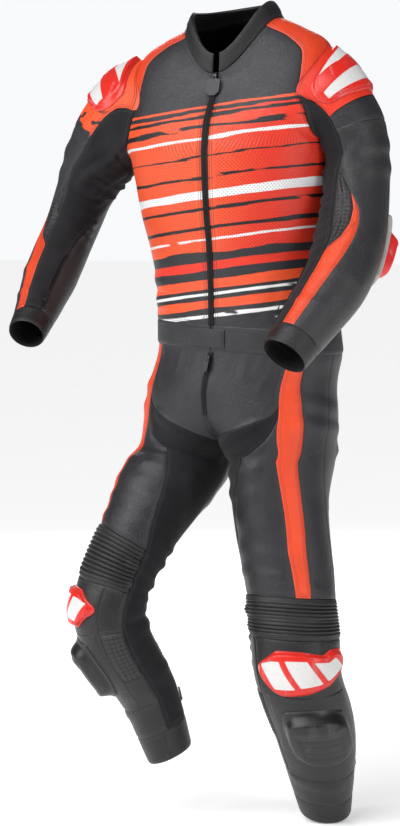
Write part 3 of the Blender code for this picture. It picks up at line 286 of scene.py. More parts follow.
# %% [markdown]
# The tubes themselves are functions: a station and a share of the turn give a point. Blender's
# curves and lofts could do this too, but a function also gives the place of every seam, fold
# and stitch, and the direction straight out of the cloth. The torso comes first, because the
# sleeves start at its armholes and the trousers at its waist.

# %% The torso's tube
class Surface:
    """A tube. at(u, v) is a point: u runs once round from 0 to 1, v along the stations."""

    facing = 1

    def normal(self, u, v):
        du, dv = 0.002, 0.02
        across = self.at(u + du, v) - self.at(u - du, v)
        along = self.at(u, v + dv) - self.at(u, v - dv)
        return (across.cross(along) * self.facing).normalized()


class Torso(Surface):
    """u is 0 at the front middle, 0.25 at the wearer's left and 0.5 at the back middle."""

    def __init__(self):
        self.c = columns_of(TORSO)

    @staticmethod
    def outline(angle, box):
        """Place on the ring at this angle, sideways and ahead, as shares of its half sizes."""
        side = (math.sin(angle) + box * math.sin(3 * angle)) / (1 - box)
        ahead = (math.cos(angle) - box * math.cos(3 * angle)) / (1 - box)
        return side, ahead

    def at(self, u, v):
        get = {name: spline(values, v) for name, values in self.c.items() if name != "armhole"}
        angle = 2 * math.pi * u
        across, ahead = self.outline(angle, get["box"])
        side = get["half_width"] * across
        depth = get["front"] if ahead > 0 else get["back"]
        drop = get["front_drop"] if ahead > 0 else get["back_drop"]
        turn = Matrix.Rotation(math.radians(get["turn"]), 3, "Z")
        flat = turn @ Vector((side, -depth * ahead, 0))
        lift = side * math.tan(math.radians(get["roll"])) - drop * abs(math.cos(angle)) ** FRONT_SHARE
        return flat + Vector((get["x"], get["y"], get["z"] + lift))

    def station_at(self, z):
        """Station whose ring has this height at the sides."""
        heights = self.c["z"]
        for i in range(len(heights) - 1):
            if z <= heights[i + 1]:
                return max(i + (z - heights[i]) / (heights[i + 1] - heights[i]), 0.0)
        return len(heights) - 1

    def pushed_out(self, p, clear):
        """The point, moved straight outwards where it is nearer than clear to the torso's skin."""
        v = self.station_at(p.z - p.x * math.tan(math.radians(3)))
        get = {name: spline(values, v) for name, values in self.c.items()}
        middle = Vector((get["x"], get["y"], p.z))
        local = Matrix.Rotation(-math.radians(get["turn"]), 3, "Z") @ (p - middle)
        depth = get["front"] if local.y < 0 else get["back"]
        across, ahead = local.x / get["half_width"], -local.y / depth
        reach = math.hypot(across, ahead)
        least = math.hypot(*self.outline(math.atan2(across, ahead), get["box"])) + clear / get["half_width"]
        return p if reach >= least or v > TIP else middle + (p - middle) * (least / reach)

    def armhole(self, v):
        """Half the angle that the armhole takes out of the ring, as a share of the turn."""
        return max(spline(self.c["armhole"], v), 0.0) / 360 if UNDERARM < v < TIP else 0.0


torso = Torso()
print("chest width:", round((torso.at(0.25, UNDERARM) - torso.at(0.75, UNDERARM)).length, 3))

# %% [markdown]
# A sleeve starts as the armhole's own loop and turns into round rings within two stations. A
# loft between two curves twists in the armpit, where the loop folds over. So each point goes
# from the loop to its ring by itself, stays clear of the jacket's side, and gets its direction
# outwards from the middle of the arm.

# %% The sleeves' tubes
class Arm(Surface):
    """u is 0 along the top and outside, 0.25 in front and 0.5 inside."""

    def __init__(self, side, stations, torso):
        self.side, self.torso, self.facing = side, torso, side
        self.c = columns_of(stations)
        steps = 2 * ARMHOLE_STEPS
        self.loop = [self.torso.at(*self.armhole_place(k)) for k in range(steps)]
        self.middle = sum(self.loop, Vector()) / steps
        self.loop_normals = []
        for k, point in enumerate(self.loop):
            across, away = self.torso.normal(*self.armhole_place(k)), (point - self.middle).normalized()
            self.loop_normals.append(across.lerp(away, self.inside(k / steps) ** 1.5).normalized())

    def armhole_place(self, k):
        """(u, v) on the torso of vertex k of the armhole, from the shoulder tip by the front."""
        down = k if k <= ARMHOLE_STEPS else 2 * ARMHOLE_STEPS - k
        v = TIP - (TIP - UNDERARM) * down / ARMHOLE_STEPS
        turn = self.torso.armhole(v)
        return self.side * (0.25 - turn if k <= ARMHOLE_STEPS else 0.25 + turn), v

    @staticmethod
    def inside(u):
        """0 along the outside of the arm and 1 along its inside."""
        return 0.5 - 0.5 * math.cos(2 * math.pi * u)

    def on_loop(self, u, loop):
        steps = len(loop)
        k = (u % 1) * steps
        i = math.floor(k + 1e-9)
        return loop[i % steps].lerp(loop[(i + 1) % steps], max(k - i, 0.0))

    def centre(self, v):
        return Vector((self.side * spline(self.c["x"], v), spline(self.c["y"], v), spline(self.c["z"], v)))

    def ring(self, u, v):
        along = (self.centre(v + 0.2) - self.centre(v - 0.2)).normalized()
        outer = Vector((self.side * 0.8, 0.0, 0.6))
        outer = (outer - outer.dot(along) * along).normalized()
        front = outer.cross(along) * -self.side
        angle = 2 * math.pi * u + math.radians(spline(self.c["twist"], v))
        depth = spline(self.c["front"] if math.sin(angle) > 0 else self.c["back"], v)
        across = outer * (spline(self.c["half_width"], v) * math.cos(angle))
        return self.centre(v) + across + front * (depth * math.sin(angle))

    def spread(self, u, v):
        """Place on the ring v that belongs to place u of the armhole."""
        return u + ARMPIT_SPREAD[self.side] * math.sin(4 * math.pi * u) * (1 - smooth(v / 4))

    def at(self, u, v):
        if v >= ELBOW:
            return self.ring(u, v)
        start = self.on_loop(u, self.loop)
        p = start.lerp(self.ring(self.spread(u, v), v), smooth(v / ARM_SEAM))
        if v < UNDER_END:
            under = start.lerp(self.ring(self.spread(u, UNDER_END), UNDER_END), v / UNDER_END)
            p = p.lerp(under, self.inside(u))
        return p.lerp(self.torso.pushed_out(p, SLEEVE_CLEAR), smooth(2 * v) * smooth(2 * self.inside(u)))

    def normal(self, u, v):
        """The surface's own normal, but in the armpit it points away from the middle of the arm."""
        own = super().normal(u, max(v, 0.12))
        if v >= ARM_SEAM + 0.5:
            return own
        middle = self.middle.lerp(self.centre(UNDER_END), smooth(v / 1.5))
        away = (self.at(u, v) - middle).normalized()
        pit = smooth(2 * self.inside(u) ** 1.5) * (1 - smooth((v - 1) / 1.5))
        own = own.lerp(away, pit).normalized()
        return self.on_loop(u, self.loop_normals).lerp(own, smooth(v / 0.6)).normalized()


SIDES = {"right": -1, "left": 1}
arms = {tag: Arm(side, stations, torso) for (tag, side), stations in zip(SIDES.items(), (RIGHT_ARM, LEFT_ARM))}
print("armhole of", len(arms["left"].loop), "points")

# %% [markdown]
# The trousers are one tube above the crotch and two below it. A boolean union of two legs would
# leave a rough line in the middle. Here each leg is half of the hips as well: above the crotch
# its rings are cut at the middle seam, where both halves meet face to face.

# %% The legs' tubes
class Leg(Surface):
    """Half of the trousers. Above the crotch u runs from the front middle (0) round the hip to the
    back middle (1); below it, from the inseam (0) by the front, the outside and the back (1)."""

    def __init__(self, side, stations, torso):
        self.side, self.torso, self.facing = side, torso, -side
        self.hips, self.below = columns_of(HIPS + [HIGH_THIGH]), columns_of(stations)

    def to_world(self, p):
        """From the frame of the hips, x outwards on this side, to the suit's frame."""
        x = self.side * p.x
        tilted = Vector((x, p.y, p.z + x * math.tan(HIPS_ROLL)))
        return Matrix.Rotation(HIPS_TURN, 3, "Z") @ tilted + HIPS_AT

    def ring(self, u, v):
        columns = self.hips if v < CROTCH else self.below
        get = {name: spline(values, v) for name, values in columns.items()}
        turn = Matrix.Rotation(math.radians(get["yaw"]), 3, "Z") @ Matrix.Rotation(-math.radians(get["tilt"]), 3, "X")
        width, x = get["half_width"], get["x"]
        cut = math.acos(min(x / width, 1.0)) if v < CROTCH else 0.0
        angle = cut + (2 * math.pi - 2 * cut) * u
        depth = get["front"] if math.sin(angle) > 0 else get["back"]
        across = turn @ Vector((-width * math.cos(angle), -depth * math.sin(angle), 0))
        return Vector((x, get["y"], get["z"])) + across

    def at(self, u, v):
        share = smooth((v - 1) / 1.5)
        if share >= 1:
            return self.to_world(self.ring(u, v))
        place = (self.side * u / 2, BAND_TOP - v)
        waist = self.torso.at(*place) - self.torso.normal(*place) * WAIST_INSET
        return waist if share <= 0 else waist.lerp(self.to_world(self.ring(u, v)), share)

    def normal(self, u, v):
        if v < CROTCH and (u <= 0 or u >= 1):  # on the middle seam both halves face the same way
            inside = super().normal(0.01 if u <= 0 else 0.99, v)
            middle = Matrix.Rotation(HIPS_TURN, 3, "Z") @ Vector((1.0, 0.0, 0.0))
            return (inside - inside.dot(middle) * middle).normalized()
        return super().normal(u, v)


legs = {tag: Leg(side, stations, torso) for (tag, side), stations in zip(SIDES.items(), (RIGHT_LEG, LEFT_LEG))}
print("tubes:", 1 + len(arms) + len(legs))

# %% [markdown]
# Leather doesn't lie flat where a limb bends: it buckles into ridges with a valley on each side.
# A cloth simulation would find folds of its own, and would need a body to rest on. Here each
# ridge is given as a line on the tube, from one place to another, with a width and a
# height in metres.

# %% Tables of folds
# A row is u and v of one end, u and v of the other end, width and height.
ARM_FOLDS = [
    (0.27, 0.9, 0.20, 2.1, 0.010, 0.0030), (0.33, 1.1, 0.24, 2.6, 0.011, 0.0038),
    (0.38, 1.5, 0.30, 3.1, 0.011, 0.0038), (0.45, 1.9, 0.38, 3.5, 0.012, 0.0036),
    (0.66, 0.9, 0.75, 2.0, 0.012, 0.0034), (0.60, 1.3, 0.70, 2.8, 0.012, 0.0034),
    (0.25, 3.7, 0.38, 3.5, 0.010, 0.0026), (0.26, 4.1, 0.44, 3.9, 0.009, 0.0036),
    (0.255, 4.45, 0.46, 4.35, 0.008, 0.0044), (0.25, 4.8, 0.48, 4.8, 0.008, 0.0048),
    (0.235, 5.15, 0.46, 5.25, 0.008, 0.0046), (0.22, 5.5, 0.44, 5.7, 0.009, 0.0040),
    (0.20, 5.9, 0.34, 6.15, 0.009, 0.0030), (0.20, 6.4, 0.27, 6.5, 0.009, 0.0022),
    (-0.05, 2.6, 0.14, 2.9, 0.016, 0.0024), (-0.12, 3.2, 0.08, 3.6, 0.016, 0.0020),
    (-0.08, 7.0, 0.10, 7.2, 0.014, 0.0016), (0.03, 8.1, 0.25, 8.3, 0.010, 0.0018),
]
PIT_FOLDS = [     # the right arm hangs free, and its sleeve gathers below the armpit
    (0.34, 1.55, 0.60, 1.70, 0.009, 0.0052), (0.32, 2.05, 0.60, 2.20, 0.009, 0.0064),
    (0.31, 2.50, 0.58, 2.70, 0.008, 0.0062), (0.30, 2.95, 0.56, 3.15, 0.008, 0.0054),
    (0.29, 3.40, 0.52, 3.55, 0.008, 0.0044), (0.36, 0.95, 0.34, 2.20, 0.009, 0.0034),
]
LEG_FOLDS = [
    (0.06, 1.15, 0.05, 1.75, 0.006, 0.0014), (0.12, 1.10, 0.13, 1.90, 0.007, 0.0016),
    (0.18, 1.15, 0.17, 1.70, 0.006, 0.0014), (0.22, 1.20, 0.20, 2.20, 0.008, 0.0014),
    (0.02, 4.00, 0.20, 3.15, 0.012, 0.0038), (0.02, 4.30, 0.24, 3.65, 0.012, 0.0044),
    (0.03, 4.65, 0.26, 4.30, 0.013, 0.0036), (0.04, 5.10, 0.22, 5.05, 0.013, 0.0028),
    (0.34, 2.40, 0.56, 2.75, 0.016, 0.0024), (0.36, 3.00, 0.60, 3.30, 0.016, 0.0024),
    (0.12, 5.70, 0.34, 5.95, 0.018, 0.0020), (0.08, 6.50, 0.30, 6.70, 0.016, 0.0022),
    (0.06, 7.20, 0.24, 7.30, 0.013, 0.0024), (0.10, 7.65, 0.36, 7.72, 0.012, 0.0020),
    (0.62, 3.90, 0.95, 4.25, 0.015, 0.0034), (0.60, 5.20, 0.85, 5.40, 0.018, 0.0020),
    (0.58, 7.60, 0.92, 7.50, 0.012, 0.0036), (0.56, 8.20, 0.96, 8.15, 0.011, 0.0046),
    (0.55, 8.75, 0.97, 8.80, 0.011, 0.0050), (0.55, 9.30, 0.97, 9.40, 0.011, 0.0048),
    (0.56, 9.85, 0.96, 10.0, 0.011, 0.0042), (0.58, 10.5, 0.92, 10.7, 0.012, 0.0034),
    (-0.14, 8.5, 0.02, 8.4, 0.010, 0.0034), (-0.15, 9.1, 0.00, 9.1, 0.010, 0.0036),
    (-0.15, 9.7, -0.02, 9.8, 0.010, 0.0030), (0.10, 13.1, 0.34, 13.3, 0.012, 0.0020),
    (0.52, 13.0, 0.64, 13.1, 0.012, 0.0020), (0.76, 12.2, 0.92, 12.3, 0.013, 0.0022),
]
TORSO_FOLDS = [
    (0.10, 2.45, 0.27, 2.75, 0.013, 0.0026), (0.13, 3.00, 0.29, 3.25, 0.014, 0.0026),
    (-0.10, 2.45, -0.27, 2.75, 0.013, 0.0026), (-0.12, 3.05, -0.28, 3.20, 0.014, 0.0026),
    (0.33, 2.45, 0.44, 2.70, 0.015, 0.0028), (0.56, 2.75, 0.67, 2.45, 0.016, 0.0028),
    (0.34, 3.60, 0.42, 3.30, 0.018, 0.0020), (0.12, 7.20, 0.17, 6.40, 0.013, 0.0024),
    (-0.12, 7.20, -0.17, 6.40, 0.013, 0.0024), (0.33, 7.40, 0.30, 6.50, 0.014, 0.0026),
    (-0.33, 7.40, -0.30, 6.50, 0.014, 0.0026), (0.04, 2.35, 0.09, 2.60, 0.011, 0.0016),
]
print("folds:", len(TORSO_FOLDS) + len(PIT_FOLDS) + 2 * len(ARM_FOLDS) + 2 * len(LEG_FOLDS))

# %% [markdown]
# A fold's height at a point depends only on how far its line is, so neighbouring panels rise
# together and no seam opens. A displace modifier would need a texture for that. Slow waves of
# noise keep the leather between the folds from looking like sheet metal.

# %% Height of the folds
WAVES = ((11, 0.0010), (34, 0.0004))      # frequency in turns a metre, and height
FOLD_POINTS = 7                           # points on the line of a fold


def folded(points, folds):
    """How far each point stands out, from the folds near it and from slow waves in the leather."""
    rise = np.zeros(len(points))
    for path, width, height in folds:
        nearest = np.full(len(points), 1.0)
        for a, b in zip(path, path[1:]):
            along = np.clip((points - a) @ (b - a) / ((b - a) @ (b - a)), 0, 1)
            nearest = np.minimum(nearest, np.linalg.norm(points - a - np.outer(along, b - a), axis=1))
        near = (nearest / width) ** 2
        rise += height * (1 - near) * np.exp(-near)
    for turns, height in WAVES:
        rise += [height * noise.noise(Vector(p) * turns) for p in points]
    return rise


def fold_paths(surface, folds):
    paths = []
    for u0, v0, u1, v1, width, height in folds:
        places = [(u0 + (u1 - u0) * t, v0 + (v1 - v0) * t) for t in np.linspace(0, 1, FOLD_POINTS)]
        paths.append((np.array([surface.at(u, v) for u, v in places]), width, height))
    return paths


torso.folds = fold_paths(torso, TORSO_FOLDS)
for tag in SIDES:
    arms[tag].folds = fold_paths(arms[tag], ARM_FOLDS + (PIT_FOLDS if tag == "right" else []))
    legs[tag].folds = fold_paths(legs[tag], LEG_FOLDS)
print("lines of folds on the left leg:", len(legs["left"].folds))

# %% [markdown]
# A panel is a grid on its tube. A subdivision modifier would round off its corners and open the
# seams, so the grid is made fine from the start: small steps near the edges, where the cloth
# rolls into the seam, and steps of a few millimetres inside. Each point keeps its distance to
# the nearest seam and its place on the flat cut, and the finishes read both.

# %% A patch of cloth
EDGE_STEPS = (0.0, 0.0015, 0.0035, 0.0070)     # distances from a seam, in metres
STEP, TRIALS = 0.007, 41                       # size of a face, and stations to measure a tube by


def spaced(length, step):
    """Shares from 0 to 1, close together at both ends and about one step apart between them."""
    ends = [e / length for e in EDGE_STEPS if e < length * 0.4]
    count = max(1, round(length * (1 - 2 * ends[-1]) / step))
    inner = [ends[-1] + (1 - 2 * ends[-1]) * i / count for i in range(1, count)]
    return ends + inner + [1 - e for e in reversed(ends)]


class Patch:
    """Points, normals and cut places between the seams low(v) and high(v) of a tube. seams names the
    sides that are sewn: l for low, h for high, f for the first station and e for the end."""

    def __init__(self, surface, low, high, first, last, seams="lhfe", step=STEP):
        trial = np.linspace(first, last, TRIALS)
        middle = np.array([surface.at((low(v) + high(v)) / 2, v) for v in trial])
        run = np.concatenate([[0], np.cumsum(np.linalg.norm(np.diff(middle, axis=0), axis=1))])
        self.length = run[-1]
        widths = [self.row_length(surface, low(v), high(v), v) for v in trial[::4]]
        self.width = max(widths)
        stations = list(np.interp([s * self.length for s in spaced(self.length, step)], run, trial))
        down = np.interp(stations, trial, run)
        shares = spaced(self.width, step)
        places = [[(low(v) + (high(v) - low(v)) * s, v) for s in shares] for v in stations]
        self.points = np.array([[surface.at(u, v) for u, v in row] for row in places])
        self.normals = np.array([[surface.normal(u, v) for u, v in row] for row in places])
        across = np.interp(stations, trial[::4], widths)
        share, one = np.array(shares), np.ones(len(shares))
        self.cut = np.stack([np.outer(across, share - 0.5), np.outer(down, one)], axis=-1)
        far = np.full(self.points.shape[:2], 1.0)
        for seam_name, distance in (("l", np.outer(across, share)), ("h", np.outer(across, 1 - share)),
                                    ("f", np.outer(down, one)), ("e", np.outer(self.length - down, one))):
            if seam_name in seams:
                far = np.minimum(far, distance)
        self.edge = far
        self.rise = folded(self.points.reshape(-1, 3), surface.folds).reshape(far.shape)
        self.area = float(np.trapz(across, down))

    @staticmethod
    def row_length(surface, low, high, v):
        row = [surface.at(u, v) for u in np.linspace(low, high, 9)]
        return sum((b - a).length for a, b in zip(row, row[1:])) + 1e-5     # never quite nothing


sample = Patch(torso, lambda v: 0.30, lambda v: 0.40, BAND_TOP, UNDERARM)
print("a strip of the back:", sample.points.shape[:2], "points,", round(sample.area, 4), "square metres")

# %% [markdown]
# Each patch becomes a closed shell: an outer face, a lining and the cut edges between them. The
# Solidify modifier does this too, but here the outer face gets a relief that the lining doesn't
# follow, and each of them gets a finish of its own. The plates are closed in the same way.

# %% Closed meshes
def closed(points, normals, at, count):
    """Faces of a grid, of its copy count points later in the list, and of the walls between them."""
    way = np.cross(points[1:-1, 2:] - points[1:-1, :-2], points[2:, 1:-1] - points[:-2, 1:-1])
    quads = np.stack([at[:-1, :-1], at[:-1, 1:], at[1:, 1:], at[1:, :-1]], axis=-1).reshape(-1, 4)
    ring = [int(i) for i in (*at[0], *at[1:, -1], *at[-1, -2::-1], *at[-2:0:-1, 0])]
    if (way * normals[1:-1, 1:-1]).sum() > 0:
        ring.reverse()
    else:
        quads = quads[:, ::-1]
    walls = [[p, q, q + count, p + count] for p, q in zip(ring, ring[1:] + ring[:1])]
    return quads.tolist(), (quads[:, ::-1] + count).tolist(), walls


def new_object(name, points, faces, *finishes):
    mesh = bpy.data.meshes.new(name)
    mesh.from_pydata([tuple(p) for p in points], [], faces)
    for finish in finishes:
        mesh.materials.append(finish)
    obj = bpy.data.objects.new(name, mesh)
    bpy.context.scene.collection.objects.link(obj)
    return obj


def add_field(mesh, name, values):
    """A number at each point, which a finish can read by its name."""
    field = mesh.attributes.new(name, "FLOAT", "POINT")
    field.data.foreach_set("value", np.array(values, dtype=np.float32))


print("mesh helpers ready")

# %% [markdown]
# The leather is 1.6 mm thick. Its cut edge would show as a hard step, so the outer face dips in
# the last two millimetres before a seam, like hide that is turned under and sewn.

# %% A shell of leather
CLOTH = 0.0016
ROLL_DEPTH, ROLL_WIDTH = 0.0011, 0.0022
SHARP_CLOTH, SHARP_PLATE = math.radians(60), math.radians(50)


def shell(name, patches, finish, lining, relief=None, lift=0.0, thick=CLOTH):
    """One object from one or more patches. relief(patch) gives the height of quilting or ribs."""
    points, faces, inside, cuts, edges = [], [], [], [], []
    for patch in patches:
        rise = lift + patch.rise - ROLL_DEPTH * np.exp(-(patch.edge / ROLL_WIDTH) ** 2)
        if relief:
            rise = rise + relief(patch)
        outer = patch.points + patch.normals * rise[..., None]
        inner = patch.points + patch.normals * (lift + np.minimum(patch.rise, 0) - thick)[..., None]
        count = patch.edge.size
        at = np.arange(count).reshape(patch.edge.shape) + len(points)
        points += [*outer.reshape(-1, 3), *inner.reshape(-1, 3)]
        cuts += list(patch.cut.reshape(-1, 2)) * 2
        edges += list(patch.edge.reshape(-1)) * 2
        outside, lined, walls = closed(patch.points, patch.normals, at, count)
        faces += outside + lined + walls
        inside += [0] * len(outside) + [1] * len(lined) + [0] * len(walls)
    obj = new_object(name, points, faces, finish, lining)
    mesh = obj.data
    mesh.polygons.foreach_set("material_index", inside)
    corner = np.zeros(len(mesh.loops), dtype=np.int32)
    mesh.loops.foreach_get("vertex_index", corner)
    layer = mesh.uv_layers.new(name="cut")
    layer.data.foreach_set("uv", np.array(cuts, dtype=np.float32)[corner].reshape(-1))
    add_field(mesh, "edge", edges)
    mesh.shade_smooth()
    mesh.set_sharp_from_angle(angle=SHARP_CLOTH)
    return obj


print("leather:", CLOTH * 1000, "mm thick")

# %% [markdown]
# A panel of the suit is a shell that takes the place of a node in the frame, rides on the suit
# and says how large its flat cut is. That could be repeated for each of the 39 panels. A
# function keeps the table of flat sizes as well.

# %% A panel
FLAT = {}
LEAST_FILL = 0.301     # least share of its rectangle that a cut may cover


def panel(name, patches, finish, slot, **more):
    """A shell that stands for the CAD node of the same name, with its flat size kept in FLAT."""
    obj = shell(f"{name}_cloth", patches, finish, LINING, **more)
    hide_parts(name)
    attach(obj, "suit")
    width, area = max(patch.width for patch in patches), sum(patch.area for patch in patches)
    length = area / width if len(patches) > 1 else patches[0].length
    width, length = round(width, 3), round(max(length, area / width), 3)
    whole = width * length
    min(max(area, LEAST_FILL * whole), whole)
    FLAT[name] = (width, length, round(area, 4))


print("least fill of a cut:", LEAST_FILL)

# %% [markdown]
# A finish is a small sum over the surface: grain, wear, stitches and print are numbers that are
# added and multiplied. Wiring Math nodes by hand hides that sum, so a socket is wrapped in a
# class whose operators add the nodes.

# %% Sums of sockets
class Wire:
    """A number that changes over the surface: an output socket that can be used in a sum."""

    def __init__(self, finish, socket):
        self.finish, self.socket = finish, socket

    def math(self, operation, *values):
        return self.finish.node("ShaderNodeMath", {"operation": operation}, dict(enumerate(values)))

    def __add__(self, other):
        return self.math("ADD", self, other)

    def __sub__(self, other):
        return self.math("SUBTRACT", self, other)

    def __rsub__(self, other):
        return self.math("SUBTRACT", other, self)

    def __mul__(self, other):
        return self.math("MULTIPLY", self, other)

    def __abs__(self):
        return self.math("ABSOLUTE", self)

    __radd__, __rmul__ = __add__, __mul__

    def at_most(self, other):
        return self.math("MINIMUM", self, other)

    def at_least(self, other):
        return self.math("MAXIMUM", self, other)

    def wave(self, period):
        return self.math("SINE", self * (2 * math.pi / period))

    def within(self, low, high):
        """0 below low and 1 above high, with a soft step between."""
        return self.finish.node("ShaderNodeMapRange", {"interpolation_type": "SMOOTHSTEP"},
                                {"Value": self, "From Min": low, "From Max": high})

    def near(self, middle, half, soft=0.0004):
        """1 in a band about the middle, and 0 away from it."""
        return 1 - abs(self - middle).within(half - soft, half + soft)


print("operators and methods of a wire:", sum(callable(value) for value in vars(Wire).values()))

# %% [markdown]
# Each finish is a material with one Principled shader. One method makes any node from its type,
# its settings and its values, so that a grain or a stitch reads as one line. Colours and vectors
# can't go through Math nodes, which would turn them grey, so they have a Mix of their own.

# %% Materials and their nodes
class Finish:
    """A material and the one method that adds its nodes."""

    def __init__(self, name, **sockets):
        self.material = bpy.data.materials.new(name)
        self.material.use_nodes = True
        self.tree = self.material.node_tree
        self.shader = self.tree.nodes["Principled BSDF"]
        for socket, value in sockets.items():
            self.shader.inputs[socket.replace("_", " ")].default_value = value

    def node(self, kind, settings=None, values=None, out=0):
        node = self.tree.nodes.new(kind)
        for key, value in (settings or {}).items():
            setattr(node, key, value)
        for key, value in (values or {}).items():
            self.join(value, node.inputs[key])
        return Wire(self, node.outputs[out])

    def join(self, value, socket):
        if isinstance(value, Wire):
            self.tree.links.new(value.socket, socket)
        elif socket.type == "RGBA":
            socket.default_value = (*value, 1)
        else:
            socket.default_value = value

    def field(self, name):
        return self.node("ShaderNodeAttribute", {"attribute_name": name}, out="Fac")

    def place(self):
        """The point on the suit in metres, as a vector and as its three numbers."""
        where = self.node("ShaderNodeTexCoord", out="Object")
        return where, [self.node("ShaderNodeSeparateXYZ", values={0: where}, out=i) for i in range(3)]

    def cut(self):
        """The point on the flat cut: metres across from its middle, and along from its start."""
        where = self.node("ShaderNodeUVMap", {"uv_map": "cut"})
        return [self.node("ShaderNodeSeparateXYZ", values={0: where}, out=i) for i in range(2)]

    def noise(self, where, scale, detail=3.0, stretch=None):
        if stretch:
            where = self.node("ShaderNodeVectorMath", {"operation": "MULTIPLY"}, {0: where, 1: stretch})
        return self.node("ShaderNodeTexNoise", values={"Vector": where, "Scale": scale, "Detail": detail})

    def cells(self, where, scale):
        return self.node("ShaderNodeTexVoronoi", {"feature": "DISTANCE_TO_EDGE"}, {"Vector": where, "Scale": scale},
                         out="Distance")

    def mix(self, share, low, high):
        """Colour low where share is 0 and colour high where it is 1."""
        return self.node("ShaderNodeMix", {"data_type": "RGBA"}, {0: share, 6: low, 7: high}, out=2)

    def paint(self, colour, roughness, height=None):
        self.join(colour, self.shader.inputs["Base Color"])
        self.join(roughness, self.shader.inputs["Roughness"])
        if height is not None:
            relief = {"Height": height, "Strength": 1.0, "Distance": 1.0}
            self.join(self.node("ShaderNodeBump", values=relief, out="Normal"), self.shader.inputs["Normal"])
        return self.material


print("finish ready")

# %% [markdown]
# Race leather is cowhide with a fine grain, a soft sheen and faint creases, and every seam is
# held by a double row of stitches. Painting textures would need images. The grain comes from
# cells and noise in metres instead, and the stitches from the distance to the seam, so they keep
# their size on every panel.

# %% Leather
CHARCOAL, BLACK, THREAD = (0.0215, 0.0205, 0.0245), (0.009, 0.0085, 0.010), (0.045, 0.045, 0.048)
ORANGE, RED, WHITE = (0.78, 0.082, 0.018), (0.70, 0.030, 0.010), (0.76, 0.76, 0.76)
STITCH_LENGTH, STITCH_ROWS = 0.0036, (0.0030, 0.0062)     # metres, and metres from the seam
THREAD_HALF, HOLE_PITCH = 0.0005, 0.0060
PORES, CREASES, WRINKLES, HILLS = (620, 0.00035), (130, 0.0026), (30, 0.0045), (22, 0.0016)   # scale and height


def stitches(finish):
    """Mask of the two rows of thread beside each seam."""
    edge = finish.field("edge")
    across, along = finish.cut()
    row = edge.near(STITCH_ROWS[0], THREAD_HALF) + edge.near(STITCH_ROWS[1], THREAD_HALF)
    return row * (across + along).wave(STITCH_LENGTH).within(-0.5, 0.0)


def grain(finish, where):
    """Height of the hide: fine cells, creases a few millimetres apart, and slow unevenness."""
    fine = finish.cells(where, PORES[0]).at_most(0.25) * PORES[1]
    crease = abs(finish.noise(where, CREASES[0], 4.0) - 0.5).at_most(0.06) * CREASES[1]
    wrinkle = abs(finish.noise(where, WRINKLES[0], 5.0, stretch=(1.0, 1.0, 1.6)) - 0.5).at_most(0.035) * WRINKLES[1]
    return fine + crease + wrinkle + finish.noise(where, HILLS[0]) * HILLS[1]


def leather(name, colour_of, roughness=0.40, perforated=None, raised=None, thread=THREAD):
    """colour_of(finish, where, xyz) gives the dyed colour, perforated a mask of the holes' area, and
    raised(across, along) the height of ribs or seams on the flat cut."""
    finish = Finish(name, Specular_IOR_Level=0.42)
    where, xyz = finish.place()
    colour = colour_of(finish, where, xyz)
    sewn = stitches(finish)
    height = grain(finish, where) + sewn * 0.0006
    if raised:
        height = height + raised(*finish.cut())
    worn = (1 - finish.field("edge").within(0.0, 0.0022)) * finish.noise(where, 60).within(0.45, 0.7)
    if perforated:
        across, along = finish.cut()
        hole = (across.wave(HOLE_PITCH) * along.wave(HOLE_PITCH)).within(0.62, 0.80) * perforated(xyz)
        hole = hole * finish.field("edge").within(0.010, 0.012)
        colour = finish.mix(hole * 0.75, colour, (0.006, 0.006, 0.006))
        height = height - hole * 0.0005
    colour = finish.mix(worn * 0.14, colour, (0.16, 0.155, 0.155))
    colour = finish.mix(sewn, colour, thread)
    uneven = finish.noise(where, 22) * 0.16 + finish.noise(where, 240) * 0.10
    return finish.paint(colour, uneven + (roughness - 0.13), height)


def plain(colour, depth=0.25):
    """One dye, a little lighter and darker in slow patches."""

    def colour_of(finish, where, xyz):
        dark = tuple(c * (1 - depth) for c in colour)
        return finish.mix(finish.noise(where, 16).within(0.3, 0.7), dark, colour)

    return colour_of


print("leather finish ready")

# %% [markdown]
# The chest carries a printed pattern: level streaks of orange, black and white with dry, torn
# ends, like paint from a wide brush. Each streak is a band of height on the suit, tilted a
# little, whose edge is pushed up and down by noise that is stretched along the streak.

# %% The chest's streaks
Streak = namedtuple("Streak", "height half colour torn")
STREAKS = [
    Streak(-0.1125, 0.0022, ORANGE, 0.006), Streak(-0.240, 0.119, ORANGE, 0.011), Streak(-0.1285, 0.0030, BLACK, 0.010),
    Streak(-0.168, 0.0026, WHITE, 0.006), Streak(-0.150, 0.0036, BLACK, 0.010),
    Streak(-0.198, 0.0014, BLACK, 0.009), Streak(-0.232, 0.0026, BLACK, 0.010), Streak(-0.262, 0.0070, WHITE, 0.004),
    Streak(-0.286, 0.0026, BLACK, 0.006), Streak(-0.318, 0.0030, BLACK, 0.005), Streak(-0.338, 0.0018, WHITE, 0.005),
    Streak(-0.382, 0.0070, RED, 0.004), Streak(-0.413, 0.0085, ORANGE, 0.004), Streak(-0.430, 0.0024, WHITE, 0.003),
    Streak(-0.447, 0.0070, ORANGE, 0.004), Streak(-0.466, 0.0030, WHITE, 0.006),
]
STREAK_SLOPE = 0.13


